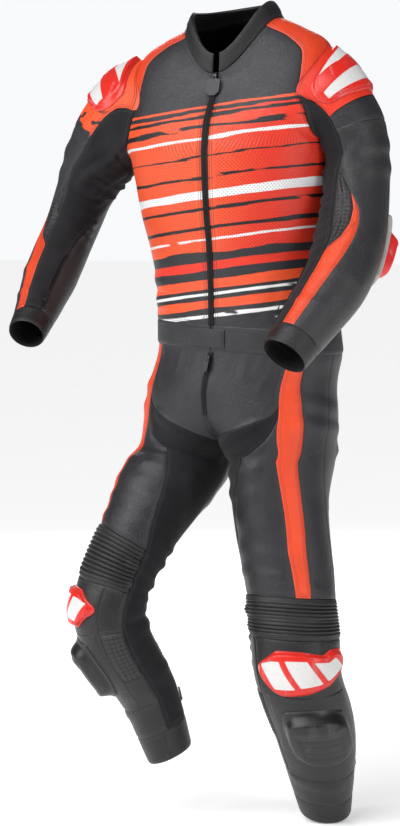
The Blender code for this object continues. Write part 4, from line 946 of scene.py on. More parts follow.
def streaked(finish, where, xyz):
    x, y, z = xyz
    level = z - x * STREAK_SLOPE
    brushed = finish.noise(where, 26, 5.0, stretch=(0.22, 0.22, 2.4)) - 0.5
    colour = finish.mix(finish.noise(where, 16).within(0.3, 0.7), tuple(c * 0.8 for c in CHARCOAL), CHARCOAL)
    for streak in STREAKS:
        band = (level + brushed * (2 * streak.torn)).near(streak.height, streak.half, 0.0006)
        gap = finish.noise(where, 17 + 900 * streak.half, 3.0, stretch=(0.5, 0.5, 1.5)).within(0.36, 0.40)
        shown = band * gap if streak.half < 0.006 else band
        paint = streak.colour
        if streak.half > 0.1:
            paint = finish.mix((x + finish.noise(where, 9) * 0.10).within(0.03, 0.17), ORANGE, RED)
        colour = finish.mix(shown, colour, paint)
    return colour


def chest_holes(xyz):
    return xyz[2].within(-0.37, -0.36) * (1 - xyz[2].within(-0.14, -0.13))


print("streaks:", len(STREAKS))

# %% [markdown]
# The other finishes are small changes to the same leather. On the real suit a splash or a pad
# is a separate piece of hide, sewn in. Here it is a mask on the panel's flat cut, because its
# edge then follows the panel through every fold.

# %% Splashes, pads and ribs
def splashed(finish, where, xyz):
    across, along = finish.cut()
    torn = finish.noise(where, 20, 5.0, stretch=(0.6, 1.0, 1.6)) - 0.5
    dark = (along + torn * 0.12).within(0.146, 0.150)
    fleck = finish.noise(where, 42, 4.0, stretch=(0.5, 1.0, 2.2)).within(0.60, 0.62) * along.within(0.05, 0.11)
    return finish.mix(dark.at_least(fleck), ORANGE, CHARCOAL)


def framed(finish, where, xyz):
    """Charcoal, with the red leather that the shoulder cup is sewn onto and a near-black line of painted shade about
    it.
    """
    across, along = finish.cut()
    outside = (abs(across - 0.052) - 0.116).at_least(along - 0.110)
    colour = finish.mix(finish.noise(where, 16).within(0.3, 0.7), (0.020, 0.0195, 0.022), CHARCOAL)
    colour = finish.mix(outside.within(-0.0005, 0.0005), RED, colour)
    # painted shade: a near-black line along the red frame's border, for the shade about the raised shoulder cup
    return finish.mix(outside.near(0.0, 0.0012), colour, (0.004, 0.004, 0.004))


def pad_edge(across, along):
    """The sewn outline of the smooth pad that carries the knee slider."""
    outside = (abs(across) - 0.078).at_least(abs(along - 0.160) - 0.062)
    return (1 - outside.within(-0.002, 0.001)) * 0.0010


def back_ribs(across, along):
    """Accordion bands low and high on the back, each inside a sewn outline."""
    low = (abs(across) - 0.105).at_least(abs(along - 0.070) - 0.040)
    high = (abs(across) - 0.120).at_least(abs(along - 0.355) - 0.028)
    area = low.at_most(high)
    return abs(along.wave(0.0140)) * (1 - area.within(-0.003, 0.0)) * 0.0022 - area.near(0.003, 0.0009) * 0.0009


def everywhere(xyz):
    return 1.0


QUILT_CELL = 0.0078


def pillowed(finish, where, xyz):
    """Black hide, with painted shade: near black in the sewn channels between the pillows."""
    across, along = finish.cut()
    channel = abs(across.wave(2 * QUILT_CELL)).at_most(abs(along.wave(2 * QUILT_CELL)))
    # painted shade: the recessed channels between the raised pillows are near black, where shade falls
    return finish.mix(channel.within(0.10, 0.45), (0.003, 0.003, 0.003), (0.026, 0.025, 0.028))


print("quilt cells:", QUILT_CELL * 1000, "mm")

# %% [markdown]
# The stretch cloth is woven, not tanned, and so are the lining and the zips' tape. It has no
# grain, but a fine rib across and along, and a soft sheen, set on the shader's own sockets.

# %% Stretch cloth
def cloth(name, colour, rib=0.0013, roughness=0.85, height=0.00012):
    finish = Finish(name, Specular_IOR_Level=0.22, Sheen_Weight=0.06, Sheen_Roughness=0.5)
    where, xyz = finish.place()
    across, along = finish.cut()
    ribs = along.wave(rib) * 0.5 + across.wave(rib * 1.7) * 0.25
    sewn = stitches(finish)
    lighter = tuple(c * 1.7 for c in colour)
    base = finish.mix(finish.noise(where, 18).within(0.35, 0.7), colour, lighter)
    return finish.paint(finish.mix(sewn, base, THREAD), finish.noise(where, 30) * 0.10 + (roughness - 0.05),
                        ribs * height + sewn * 0.0005)


LINING = cloth("lining_mesh", (0.006, 0.006, 0.006), rib=0.0022)
STRETCH = cloth("stretch_cloth_finish", (0.0085, 0.008, 0.0095))
print("materials:", len(bpy.data.materials))

# %% [markdown]
# Every panel has its own hide, dyed through. The blacks aren't equal: the leather is charcoal,
# the ribs and knees are darker, and the collar and cuffs darkest. One colour for all would lose
# the seams between them.

# %% Dyed leathers
FRONT = leather("front_finish", streaked, perforated=chest_holes)
BACK = leather("back_finish", plain(CHARCOAL))
JACKET_BACK = leather("jacket_back_finish", plain(CHARCOAL), raised=back_ribs)
YOKE = leather("yoke_finish", plain((0.74, 0.055, 0.014), 0.12), thread=(0.30, 0.05, 0.02))
COLLAR = leather("collar_finish", plain(BLACK), roughness=0.5)
BAND = leather("band_finish", plain(CHARCOAL, 0.3), roughness=0.45)
UPPER = {"right": leather("upper_right_finish", splashed, thread=BLACK),
         "left": leather("upper_left_finish", framed)}
SLEEVE = leather("sleeve_finish", plain((0.028, 0.027, 0.030)), perforated=everywhere)
STRIPE = leather("stripe_finish", plain((0.78, 0.062, 0.012), 0.10), thread=(0.35, 0.04, 0.02))
QUILT = leather("quilt_finish", pillowed, roughness=0.45)
CUFF_HIDE = leather("cuff_finish", plain(BLACK), roughness=0.42)
TROUSER = leather("trouser_finish", plain(CHARCOAL), roughness=0.42)
THIGH = leather("thigh_finish", plain(CHARCOAL), roughness=0.38, perforated=everywhere)
RIBS = leather("ribs_finish", plain((0.014, 0.0135, 0.015)), roughness=0.42)
KNEE = leather("knee_finish", plain((0.014, 0.0135, 0.015)), roughness=0.36, raised=pad_edge)
SHIN = leather("shin_finish", plain((0.012, 0.0115, 0.013)), roughness=0.36)
print("materials:", len(bpy.data.materials))

# %% [markdown]
# The jacket's body has two fronts, two yokes over the shoulders, a back, a stand collar and a
# band at the hem. The fronts stop at the zip's tape, and the yokes wrap over the shoulder from
# the front to the back, which keeps the seam off the rider's shoulder.

# %% The jacket's body
def share(table):
    return lambda v: seam(table, v)


def fixed(value):
    return lambda v: value


def armhole_edge(side, behind):
    return lambda v: side * (0.25 + behind * torso.armhole(v))


def side_seam(side, behind):
    def edge(v):
        width = torso.armhole(v)
        if v >= HIGH_ARM:
            width = max(0.25 - seam(YOKE_SEAM, v), width)
        return side * (0.25 + behind * width)

    return edge


ZIP_HALF = 0.005                            # half of the width between the fronts, in metres
BAND_GAP, COLLAR_GAP = 0.002, 0.012         # what the zip leaves open, as a share of the way round
COLLAR_WALL, TAB_LIFT = 0.0045, 0.0028


def zip_edge(side):
    return lambda v: side * math.asin(ZIP_HALF / spline(torso.c["half_width"], v)) / (2 * math.pi)


for tag, side in SIDES.items():
    panel(f"front_{tag}", [Patch(torso, zip_edge(side), side_seam(side, -1), BAND_TOP, NECK)], FRONT, "front_leather")
    ahead = Patch(torso, side_seam(side, -1), armhole_edge(side, -1), HIGH_ARM, NECK, seams="lfe")
    behind = Patch(torso, armhole_edge(side, 1), side_seam(side, 1), HIGH_ARM, NECK, seams="hfe")
    panel(f"yoke_{tag}", [ahead, behind], YOKE, "yoke_leather")
panel("back", [Patch(torso, side_seam(1, 1), lambda v: 1 + side_seam(-1, 1)(v), BAND_TOP, NECK)], JACKET_BACK,
      "back_leather")
panel("waistband", [Patch(torso, fixed(BAND_GAP), fixed(1 - BAND_GAP), HEM, BAND_TOP)], BAND, "waistband_leather")
panel("collar", [Patch(torso, fixed(COLLAR_GAP), fixed(1 - COLLAR_GAP), NECK, COLLAR_TOP)], COLLAR, "collar_leather",
      lift=COLLAR_WALL / 2, thick=COLLAR_WALL * 1.4)
panel("waist_tab", [Patch(torso, fixed(-0.051), fixed(0.024), 1.12, 1.88)], BAND, "waistband_leather",
      lift=TAB_LIFT)
print("body panels:", len(FLAT))

# %% [markdown]
# Each sleeve has leather outside and stretch cloth inside the bend of the arm, with a quilted
# panel beside the elbow and a bright stripe down to the cuff. Quilting could be a bump, but it
# shows at the elbow's outline, so the cells are raised in the mesh.

# %% The sleeves
QUILT_RISE = 0.0022


def quilted(patch):
    """Rows of small pillows, highest in the middle of each cell."""
    pillow = np.abs(np.sin(np.pi * patch.cut / QUILT_CELL))
    return QUILT_RISE * np.sqrt(pillow[..., 0] * pillow[..., 1]) * np.clip(patch.edge / 0.004, 0, 1)


def sleeve_back(v):
    return seam(STRETCH_BACK, v) - 1


def quilt_outer(v):
    return seam(STRETCH_EDGE, v) - (seam(ELBOW_QUILT, v) if 3.5 <= v <= 6.5 else 0.0)


def stripe_outer(v):
    return min(seam(STRIPE_OUTER, v), quilt_outer(v)) if v > 4.5 else quilt_outer(v)


for tag, arm in arms.items():
    edge = share(STRETCH_EDGE)
    panel(f"sleeve_stretch_{tag}", [Patch(arm, edge, share(STRETCH_BACK), 0, WRIST)], STRETCH, "stretch_cloth")
    panel(f"sleeve_upper_{tag}", [Patch(arm, sleeve_back, edge, 0, ARM_SEAM)], UPPER[tag], f"upper_leather_{tag}")
    panel(f"sleeve_outer_{tag}", [Patch(arm, sleeve_back, stripe_outer, ARM_SEAM, WRIST)], SLEEVE, "sleeve_leather")
    panel(f"sleeve_stripe_{tag}", [Patch(arm, stripe_outer, quilt_outer, 4.5, WRIST)], STRIPE, "stripe_leather")
    panel(f"elbow_quilt_{tag}", [Patch(arm, quilt_outer, edge, 3.5, 6.5, step=0.0024)], QUILT, "quilted_leather",
          relief=quilted)
    panel(f"cuff_{tag}", [Patch(arm, fixed(0), fixed(1), WRIST, CUFF)], CUFF_HIDE, "cuff_leather")
print("panels so far:", len(FLAT))

# %% [markdown]
# The trousers have a plain front, stretch cloth inside the legs, leather thighs with a bright
# stripe at the side, and an accordion of ribs above each knee, which lets the knee bend. The
# ribs are a wave along the leg that fades out at the side seams.

# %% The trousers
KNEE_RIBS, RIB_RISE = 12, 0.0030
QUILT_TOP, QUILT_END, SHIN_SEAM = 10.5, 12, 13     # station numbers on a leg


def ribbed(patch):
    share_along = patch.cut[..., 1] / patch.length
    return RIB_RISE * np.abs(np.sin(np.pi * KNEE_RIBS * share_along)) ** 0.8 * np.clip(patch.edge / 0.006, 0, 1)


def inner_back(v):
    return seam(GUSSET_BACK, v) if v > CROTCH else 0.0


def quilt_edge(v):
    return seam(GUSSET_EDGE, v) * 2 / 3 + seam(STRIPE_FRONT, v) / 3


gusset, stripe_front, stripe_back, knee_back = (share(t) for t in (GUSSET_EDGE, STRIPE_FRONT, STRIPE_BACK, KNEE_BACK))
panel("trouser_front", [Patch(legs[tag], fixed(0), share(TROUSER_V), 0, 3.75) for tag in SIDES], TROUSER,
      "trouser_leather")
for tag, leg in legs.items():
    panel(f"leg_stretch_{tag}", [Patch(leg, share(TROUSER_V), gusset, 2.6, 3.75, seams="lhf"),
                                 Patch(leg, inner_back, gusset, 3.75, LOW_CALF, seams="lhe")], STRETCH, "stretch_cloth")
    panel(f"thigh_{tag}", [Patch(leg, gusset, stripe_front, 2.9, RIBS_TOP)], THIGH, "thigh_leather")
    panel(f"leg_stripe_{tag}", [Patch(leg, stripe_front, stripe_back, 0, RIBS_TOP)], STRIPE, "stripe_leather")
    panel(f"leg_back_{tag}", [Patch(leg, stripe_back, knee_back, 0, RIBS_TOP),
                              Patch(leg, knee_back, lambda v: 1 + inner_back(v), 0, LOW_CALF)], BACK, "back_leather")
    panel(f"knee_ribs_{tag}", [Patch(leg, gusset, knee_back, RIBS_TOP, RIBS_END, step=0.0016)], RIBS, "ribbed_leather",
          relief=ribbed)
    panel(f"knee_{tag}", [Patch(leg, quilt_edge, knee_back, RIBS_END, SHIN_SEAM, seams="lhfe"),
                          Patch(leg, gusset, quilt_edge, RIBS_END, QUILT_TOP, seams="lfe"),
                          Patch(leg, gusset, quilt_edge, QUILT_END, SHIN_SEAM, seams="lfe")], KNEE, "knee_leather")
    panel(f"knee_quilt_{tag}", [Patch(leg, gusset, quilt_edge, QUILT_TOP, QUILT_END, step=0.0024)], QUILT,
          "quilted_leather", relief=quilted)
    panel(f"shin_{tag}", [Patch(leg, gusset, knee_back, SHIN_SEAM, LOW_CALF)], SHIN, "shin_leather")
    panel(f"leg_hem_{tag}", [Patch(leg, fixed(0), fixed(1), LOW_CALF, LEG_HEM)], CUFF_HIDE, "cuff_leather")
print("panels:", len(FLAT), "triangles:", sum(len(o.data.polygons) * 2 for o in bpy.data.objects
                                               if o.type == "MESH" and o.name.endswith("_cloth")))

# %% [markdown]
# The hard plates are moulded: a shoulder cup, an elbow slider, a knee cup and a knee slider on
# each side. They could be cut from a subdivided block, but they have to follow the limb. So each
# is a rounded patch of the tube, raised by a profile, with its inlays sunk where a signed
# distance is below nothing. The finish reads that distance too, so colour and groove agree.

# %% Moulded plates
ACROSS, DOWN = 72, 54
PLATE_SKIRT, GROOVE = -0.0022, 0.0011
OVAL = (((-1, 1), (-1, -1)), ((-1, 1), (1, 1)))


def soft_step(low, high, x):
    t = np.clip((x - low) / (high - low), 0, 1)
    return t * t * (3 - 2 * t)


def moulded(name, surface, place, profile, inlay, finish, lift, outline=OVAL, round_off=0.30):
    """place(a, b) is a spot on the tube for a and b from -1 to 1; profile and inlay are fields of a and b.
    outline gives the plate's upper and lower end at some places across, in units of b."""
    b, a = np.meshgrid(np.linspace(-1, 1, DOWN), np.linspace(-1, 1, ACROSS), indexing="ij")
    top_end, low_end = (np.interp(a, *column) for column in outline)
    round_a = a * np.sqrt(1 - round_off * b * b)
    round_b = (top_end + low_end) / 2 + (low_end - top_end) / 2 * b * np.sqrt(1 - round_off * a * a)
    spots = [[place(x, y) for x, y in zip(*row)] for row in zip(round_a, round_b)]
    base = np.array([[surface.at(u, v) for u, v in row] for row in spots])
    out = np.array([[surface.normal(u, v) for u, v in row] for row in spots])
    distance = inlay(a, b)
    edge = np.maximum(np.abs(a), np.abs(b))
    rise = lift + profile(a, b) * np.sqrt(np.clip(1 - edge ** 10, 0, 1)) - GROOVE * soft_step(0.03, -0.03, distance)
    top = base + out * rise[..., None]
    bottom = base + out * PLATE_SKIRT
    outside, back, walls = closed(top, out, np.arange(edge.size).reshape(edge.shape), edge.size)
    obj = new_object(f"{name}_plate", [*top.reshape(-1, 3), *bottom.reshape(-1, 3)], outside + back + walls, finish)
    add_field(obj.data, "inlay", np.tile(distance.reshape(-1), 2))
    add_field(obj.data, "rim", np.tile(edge.reshape(-1), 2))
    obj.data.shade_smooth()
    obj.data.set_sharp_from_angle(angle=SHARP_PLATE)
    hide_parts(name)
    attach(obj, "suit")


print("points on a plate:", 2 * ACROSS * DOWN)

# %% [markdown]
# The sliders are made to be worn down, so their plastic is dull and scratched across, and paler
# at the rim. The cups shine more. One function makes all three, with the shine and the amount
# of scratches as its numbers.

# %% Plastics
def plastic(name, colour, inlaid, roughness=0.28, scuffed=0.18):
    """Moulded plastic with a fine texture, scuffs near the rim, and inlays in a second colour."""
    finish = Finish(name, Specular_IOR_Level=0.5)
    where, xyz = finish.place()
    inlay, rim = finish.field("inlay"), finish.field("rim")
    scuff = finish.noise(where, 70, 6.0, stretch=(1.0, 1.0, 0.35)).within(0.58, 0.66) * scuffed
    colour = finish.mix(inlay.within(-0.012, 0.012), inlaid, colour)
    worn = finish.mix(scuff + rim.within(0.93, 0.99) * 0.10, colour, (0.35, 0.34, 0.34))
    return finish.paint(worn, finish.noise(where, 160) * 0.08 + (scuff + (roughness - 0.04)),
                        finish.noise(where, 900) * 0.00010 + finish.noise(where, 40) * 0.00015)


CUP_PLASTIC = plastic("cup_finish", (0.66, 0.020, 0.012), (0.66, 0.65, 0.64))
ELBOW_PLASTIC = plastic("elbow_finish", (0.38, 0.355, 0.335), (0.66, 0.020, 0.018), 0.34)
PUCK_PLASTIC = plastic("knee_puck_finish", (0.006, 0.006, 0.0065), (0.010, 0.010, 0.011), 0.40, 0.05)
print("plastics ready")

# %% [markdown]
# The inlays are plain shapes: slanted bars on the cups, and a ring of a second colour on the
# sliders. A signed distance is below nothing inside a shape, and the least of several distances
# is their union.

# %% Inlays and outlines
def bar(a, b, middle_a, middle_b, half_a, half_b, slant):
    """A bar that leans by slant as b grows."""
    x = np.abs(a - middle_a - slant * (b - middle_b)) - half_a
    y = np.abs(b - middle_b) - half_b
    return np.maximum(x, y)


def cup_inlay(a, b):
    bars = [bar(a, b, -0.53, 0.02, 0.19, 0.58, 0.22), bar(a, b, -0.03, -0.02, 0.20, 0.58, 0.22),
            bar(a, b, 0.50, -0.05, 0.22, 0.52, 0.22)]
    return np.minimum.reduce(bars)


def shoulder_inlay(a, b):
    lower = bar(a, b, 0.20, 0.46, 0.62, 0.24, 0.10)
    upper = bar(a, b, 0.02, -0.46, 0.50, 0.20, -0.9)
    return np.minimum(np.minimum(upper, lower), bar(a, b, -0.70, 0.28, 0.11, 0.38, -0.25))


def rounded(a, b):
    """0 in the middle and 1 on the edge of a square with rounded corners."""
    return (np.abs(a) ** 4 + np.abs(b) ** 4) ** 0.25


def puck_inlay(a, b):
    return rounded(a / 0.84, b / 0.66) - 1


KNEE_CUP = (((-1, -0.62, 0, 0.45, 0.64, 1), (-0.45, -0.92, -0.86, -0.74, -0.95, -1.0)),
            ((-1, -0.62, 0, 0.45, 1), (0.45, 1.0, 0.80, 0.60, 0.05)))
SHOULDER_CUP = (((-1, -0.5, 0.4, 1), (-0.75, -1.0, -1.0, -0.70)), ((-1, -0.5, 0.4, 1), (0.72, 1.0, 1.0, 0.90)))
print("outlines: knee and shoulder cups, and", OVAL)

# %% [markdown]
# A cup is pressed from sheet: a flange, a step and a dome. A slider is a thick block on a base,
# with a ridge to catch the wear. Sculpting would give the same, but sums of soft steps are
# exact, and the same function serves elbow and knee at two sizes.

# %% Profiles of the plates
def cup_profile(base, height):
    """A flange, a step up from it, and a dome."""

    def profile(a, b):
        far = rounded(a, b)
        dome = height * np.sqrt(np.clip(1 - 0.6 * far ** 2, 0, 1))
        return base + soft_step(0.97, 0.84, far) * (dome - 0.0012) + 0.0008 * np.exp(-((far - 0.82) / 0.03) ** 2)

    return profile


def puck_profile(base, height, wide=1.0, tall=1.0):
    """A base plate with a domed block on it: a ridge on top, and a sunk face between two cheeks."""

    def profile(a, b):
        a, b = a / wide, b / tall
        block = soft_step(0.97, 0.66, rounded(a, b)) * height * (1 - 0.22 * np.minimum(a * a + b * b, 1.5))
        ridge = 0.0022 * np.exp(-((b + 0.50) / 0.10) ** 2) * soft_step(0.62, 0.45, np.abs(a))
        face = 0.0016 * soft_step(0.50, 0.42, np.maximum(np.abs(a), np.abs(b - 0.12) * 1.15))
        scores = 0.0010 * np.exp(-((np.abs(b - 0.12) - 0.14) / 0.025) ** 2) * soft_step(0.44, 0.38, np.abs(a))
        return base + block + ridge - face - scores

    return profile


cup, puck = cup_profile(0.003, 0.0085)(0.0, 0.0), puck_profile(0.0030, 0.0205)(0.0, 0.0)
print("height in the middle of a knee cup and a knee slider:", round(float(cup), 4), round(float(puck), 4))

# %% [markdown]
# The plates sit where the leather is sewn to carry them. Their places are given in columns
# between two seams and in stations along the limb, because a place in metres would drift off
# the panel when the limb's table changes.

# %% Plates on the limbs
SLEEVE_COLUMNS = 9
KNEE_COLUMNS = (0, 4, 5, 8)      # the quilt's edge, the stripe's two edges and the back seam


def between(ends, t):
    """The value at t, from -1 to 1, between two ends."""
    return (ends[0] + ends[1]) / 2 + (ends[1] - ends[0]) / 2 * t


def on_sleeve(high, columns, rows):
    """Maps a and b to the tube, in columns from the sleeve's back seam to another."""

    def place(a, b):
        v = between(rows, b)
        return sleeve_back(v) + (high(v) - sleeve_back(v)) * between(columns, a) / SLEEVE_COLUMNS, v

    return place


def on_knee(columns, rows):
    def place(a, b):
        v = between(rows, b)
        edges = [quilt_edge(v), stripe_front(v), stripe_back(v), knee_back(v)]
        return float(np.interp(between(columns, a), KNEE_COLUMNS, edges)), v

    return place


for tag, arm in arms.items():
    moulded(f"shoulder_cup_{tag}", arm, on_sleeve(share(STRETCH_EDGE), (3.2, 8.7), (0.7, 1.5)),
            cup_profile(0.003, 0.0066), shoulder_inlay, CUP_PLASTIC, 0.0014, SHOULDER_CUP)
    moulded(f"elbow_slider_{tag}", arm, on_sleeve(stripe_outer, (3.75, 5.95), (4.5, 6.35)),
            puck_profile(0.0058, 0.0170, 0.84, 0.66), puck_inlay, ELBOW_PLASTIC, 0.0010)
for tag, leg in legs.items():
    moulded(f"knee_cup_{tag}", leg, on_knee((0.3, 7.6), (9.15, 10.3)), cup_profile(0.003, 0.0085), cup_inlay,
            CUP_PLASTIC, 0.0012, KNEE_CUP)
    moulded(f"knee_slider_{tag}", leg, on_knee((1.4, 6.6), (10.6, 12.5)), puck_profile(0.0030, 0.0205), puck_inlay,
            PUCK_PLASTIC, 0.0008)
print("plates:", sum(o.name.endswith("_plate") for o in bpy.data.objects))

# %% [markdown]
# The zips are metal with a dark plating, on a woven black tape. The plating is told apart from
# the bare metal of the sliders by its colour alone, and a patina of noise dulls both.

# %% Finishes of the zips
def metal(name, colour, roughness):
    finish = Finish(name, Metallic=1.0)
    where, xyz = finish.place()
    patina = finish.noise(where, 320, 4.0)
    shade = finish.mix(patina.within(0.4, 0.7), tuple(c * 0.72 for c in colour), colour)
    return finish.paint(shade, patina * 0.22 + (roughness - 0.10), finish.noise(where, 500) * 0.00003)


TAPE = cloth("zip_tape", (0.010, 0.010, 0.011), rib=0.0010)
TEETH = metal("zip_teeth", (0.035, 0.035, 0.037), 0.40)
SLIDER = metal("slider_metal", (0.11, 0.11, 0.115), 0.32)
PULL = metal("pull_finish", (0.055, 0.055, 0.058), 0.42)
print("metals: teeth, slider, pull")

# %% [markdown]
# Each zip runs along a line on a tube, and its parts need to know which way the cloth faces. A
# matrix at a place on that line could come from a curve's tangents, but the tube gives its
# normal too. The fly lies on the seam between both legs, so it takes its surface from the two.

# %% Places along a zip
JOINTS = {joint["child"]: joint for joint in frame["joints"]}
Zip = namedtuple("Zip", "name surface middle first last lift size slider")


class Fly:
    """Both legs' surfaces as one, with the middle seam at u = 0 and the wearer's left above it."""

    folds = ()

    def at(self, u, v):
        return legs["left" if u >= 0 else "right"].at(abs(u), v)

    def normal(self, u, v):
        return legs["left" if u >= 0 else "right"].normal(abs(u), v)


def cuff_middle(v):
    return seam(STRETCH_EDGE, v) + (seam(STRETCH_BACK, v) - seam(STRETCH_EDGE, v)) * 6.6 / 7


def calf_middle(v):
    return 0.5 + (0.5 + inner_back(v)) * 0.7


def seam_frame(z, v, step=0.02):
    """Matrix on the zip's middle line: X across, Y along, Z out of the cloth."""
    u = z.middle(v)
    point, out = z.surface.at(u, v), z.surface.normal(u, v)
    point = point + out * float(folded(np.array([point]), z.surface.folds)[0])
    along = z.surface.at(z.middle(v + step), v + step) - point
    along = (along - along.dot(out) * out).normalized()
    return Matrix.Translation(point) @ Matrix((along.cross(out), along, out)).transposed().to_4x4()


def hinge_frame(z):
    """Matrix on the pull's hinge: X along its axis, Y along the zip, Z out of the cloth."""
    joint = JOINTS[f"{z.name}_pull"]
    axis = Vector(joint["axis"]).normalized()
    out = z.surface.normal(z.middle(z.slider), z.slider)
    out = (out - out.dot(axis) * axis).normalized()
    return Matrix.Translation(joint["pos_m"]) @ Matrix((axis, out.cross(axis), out)).transposed().to_4x4()


print("pulls on hinges:", ", ".join(JOINTS))

# %% [markdown]
# A tooth is a small block with rounded edges, and a slider is a tapered block with an eye of
# round wire, in which the pull's bar turns. The blocks are written as points and faces, since
# hundreds of separate cubes would be slow, and a bevel modifier rounds them all at once.

# %% Teeth and sliders
TOOTH_PITCH, TOOTH, TOOTH_STEP = 0.0032, (0.0030, 0.0021, 0.0016), 0.00085
SLIDER_HALF, SLIDER_ENDS = (0.00375, 0.0050), ((-0.0080, 1.0), (-0.0012, 0.8))     # each height and its taper
EYE_BEND, EYE_WIRE, EYE_FOOT, EYE_SIDES = 0.00235, 0.00070, -0.0022, 10


def box_faces(start):
    corners = [(0, 1, 3, 2), (4, 6, 7, 5), (0, 4, 5, 1), (2, 3, 7, 6), (0, 2, 6, 4), (1, 5, 7, 3)]
    return [[start + i for i in face] for face in corners]


def tooth(frame_of, across, lift):
    halves = [(x, y, z) for x in (-0.5, 0.5) for y in (-0.5, 0.5) for z in (-0.5, 0.5)]
    return [frame_of @ Vector((across + x * TOOTH[0], y * TOOTH[1], lift + z * TOOTH[2])) for x, y, z in halves]


def slider(frame_of, size):
    """A tapered body, and on it an eye of round wire, bent to an arch about the pull's bar."""
    faces = box_faces(0)
    points = [Vector((x * SLIDER_HALF[0] * narrow, y * SLIDER_HALF[1] * narrow, z))
              for x in (-1, 1) for y in (-1, 1) for z, narrow in SLIDER_ENDS]
    arch = [Vector((0, -EYE_BEND * math.cos(t), EYE_BEND * math.sin(t))) for t in np.linspace(0, math.pi, 13)]
    path = [Vector((0, -EYE_BEND, EYE_FOOT)), *arch, Vector((0, EYE_BEND, EYE_FOOT))]
    side, ring = Vector((1, 0, 0)), np.linspace(0, 2 * math.pi, EYE_SIDES + 1)[:-1]
    for before, here, after in zip(path[:1] + path, path, path[1:] + path[-1:]):
        out = side.cross((after - before).normalized())
        points += [here + side * EYE_WIRE * math.cos(t) + out * EYE_WIRE * math.sin(t) for t in ring]
    rings = [[8 + EYE_SIDES * k + i for i in range(EYE_SIDES)] for k in range(len(path))]
    for low, high in zip(rings, rings[1:]):
        faces += [[low[i], low[i + 1 - EYE_SIDES], high[i + 1 - EYE_SIDES], high[i]] for i in range(EYE_SIDES)]
    faces += [rings[0][::-1], rings[-1]]
    return [frame_of @ (p * size) for p in points], faces


def zip_metal(name, points, faces, finish, bevel):
    obj = new_object(name, points, faces, finish)
    rounding = obj.modifiers.new("rounding", "BEVEL")
    rounding.width, rounding.segments = bevel, 2
    obj.data.shade_smooth()
    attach(obj, "suit")


print("teeth per metre of zip:", int(1 / TOOTH_PITCH))

# %% [markdown]
# A zip is a tape, two rows of teeth, a slider and a pull. An array modifier along a curve could
# repeat the teeth, but their places along the seam are known, so one mesh is written tooth by
# tooth. The pull tabs stay as the solids they are, because they swing, and get a metal finish.

# %% One zip
TAPE_THICK = 0.0012


def make_zip(z):
    trial = np.linspace(z.first, z.last, 61)
    line = [z.surface.at(z.middle(v), v) for v in trial]
    run = np.concatenate([[0], np.cumsum([(b - a).length for a, b in zip(line, line[1:])])])
    spread = (z.surface.at(z.middle(z.first) + 0.01, z.first) - z.surface.at(z.middle(z.first), z.first)).length / 0.01
    half = ZIP_HALF / spread
    tape = Patch(z.surface, lambda v: z.middle(v) - half, lambda v: z.middle(v) + half, z.first, z.last, seams="")
    obj = shell(f"{z.name}_tape", [tape], TAPE, TAPE, lift=z.lift, thick=TAPE_THICK + z.lift)
    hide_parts(z.name)
    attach(obj, "suit")
    points, faces = [], []
    for k in range(int(run[-1] / TOOTH_PITCH)):
        v = float(np.interp((k + 0.5) * TOOTH_PITCH, run, trial))
        faces += box_faces(len(points))
        points += tooth(seam_frame(z, v), TOOTH_STEP if k % 2 else -TOOTH_STEP, z.lift + 0.0005)
    zip_metal(f"{z.name}_teeth", points, faces, TEETH, 0.0003)
    zip_metal(f"{z.name}_slider", *slider(hinge_frame(z), z.size), SLIDER, 0.0004)
    return len(points) // 8


print("tape:", ZIP_HALF * 2000, "mm wide")

# %% [markdown]
# The suit has six zips. The front and fly zips lie on the middle line, and those of the cuffs
# and calves run along the limb where it has to open for a hand or a foot.

# %% Zips and pulls
fly = Fly()
zips = [Zip("front_zip", torso, fixed(0.0), BAND_TOP, NECK, 0.0010, 1.0, 11.6),
        Zip("fly_zip", fly, fixed(0.0), 1.1, 3.0, 0.0010, 0.9, 1.35)]
zips += [Zip(f"cuff_zip_{tag}", arms[tag], cuff_middle, 6.75, 8.9, 0.0012, 0.8, 8.6) for tag in SIDES]
zips += [Zip(f"calf_zip_{tag}", legs[tag], calf_middle, 11.5, 13.9, 0.0014, 0.8, 13.6) for tag in SIDES]
for z in zips:
    print(z.name, make_zip(z), "teeth")
for name in JOINTS:
    for place in frame["nodes"][name].material_slots:
        place.link = "OBJECT"
        place.material = PULL
print("pulls:", len(JOINTS))

# %% [markdown]
# The suit stands over a pale paper floor. A floor that only mirrors the light would be grey where
# the lamps don't reach, so the paper glows a little, and it goes on to the horizon.

# %% Floor
FLOOR_HALF, FLOOR_Z = 40, CAD_BOX[0][2] - 0.001
paper = Finish("floor_paper", Emission_Color=(1, 1, 1, 1), Emission_Strength=0.30)
tone = paper.noise(paper.place()[0], 3)
paper.paint(paper.mix(tone, (0.93, 0.93, 0.93), (0.96, 0.96, 0.96)), tone * 0.1 + 0.8)
corners = [(x * FLOOR_HALF, y * FLOOR_HALF, FLOOR_Z) for x, y in ((-1, -1), (1, -1), (1, 1), (-1, 1))]
floor = new_object("floor", corners, [(0, 1, 2, 3)], paper.material)
print("floor at", round(FLOOR_Z, 3))

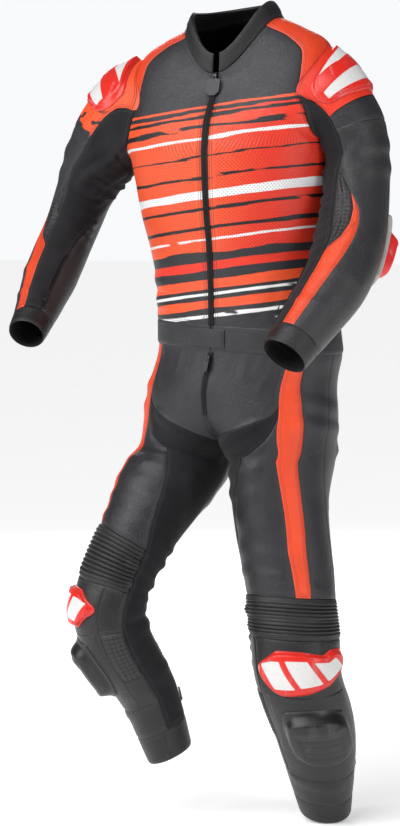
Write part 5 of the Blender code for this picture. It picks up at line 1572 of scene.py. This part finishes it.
# %% [markdown]
# A white world alone would put a haze on black leather, which shows its shape by what it
# mirrors. So the world is white only where it is seen, and dimmer as a light, a wide sun lights
# the floor evenly, and tall soft panels draw a line of light down each limb. The standard view
# transform shows the dyes as they are.

# %% Light
WORLD_AS_LIGHT, WORLD_AS_SEEN = 0.13, 0.97

world = bpy.data.worlds.new("studio")
world.use_nodes = True
background = world.node_tree.nodes["Background"]
background.inputs["Color"].default_value = (0.97, 0.98, 1.0, 1)
seen = world.node_tree.nodes.new("ShaderNodeLightPath")
strength = world.node_tree.nodes.new("ShaderNodeMapRange")
strength.inputs["To Min"].default_value, strength.inputs["To Max"].default_value = WORLD_AS_LIGHT, WORLD_AS_SEEN
world.node_tree.links.new(seen.outputs["Is Camera Ray"], strength.inputs["Value"])
world.node_tree.links.new(strength.outputs[0], background.inputs["Strength"])
bpy.context.scene.world = world
bpy.context.scene.view_settings.view_transform = "Standard"

sun_data = bpy.data.lights.new("sun", "SUN")
sun_data.energy, sun_data.angle = 2.3, math.radians(50)
sun = bpy.data.objects.new("sun", sun_data)
sun.rotation_euler = (math.radians(38), math.radians(-22), 0)
bpy.context.scene.collection.objects.link(sun)

Lamp = namedtuple("Lamp", "name place aim size power")
LAMPS = [
    Lamp("left_panel", (-2.2, -2.2, 0.4), (0, 0, -0.6), (0.8, 2.6), 34),
    Lamp("right_panel", (2.9, -1.2, 0.2), (0, 0, -0.7), (0.6, 2.6), 30),
    Lamp("top_panel", (0.4, -1.6, 2.2), (0, 0, -0.4), (1.8, 1.0), 12),
    Lamp("rim_panel", (-1.2, 2.6, 0.6), (0, 0, -0.6), (1.2, 2.0), 32),
]
for lamp in LAMPS:
    data = bpy.data.lights.new(lamp.name, "AREA")
    data.shape, data.size, data.size_y, data.energy = "RECTANGLE", *lamp.size, lamp.power
    light = bpy.data.objects.new(lamp.name, data)
    light.location = lamp.place
    light.rotation_euler = (Vector(lamp.aim) - Vector(lamp.place)).to_track_quat("-Z", "Y").to_euler()
    bpy.context.scene.collection.objects.link(light)
print("lamps:", len(LAMPS))

# %% [markdown]
# The last cell prints the flat size of each sheet, and hands the scene over.

# %% Flat sizes
print("sheets:", FLAT)
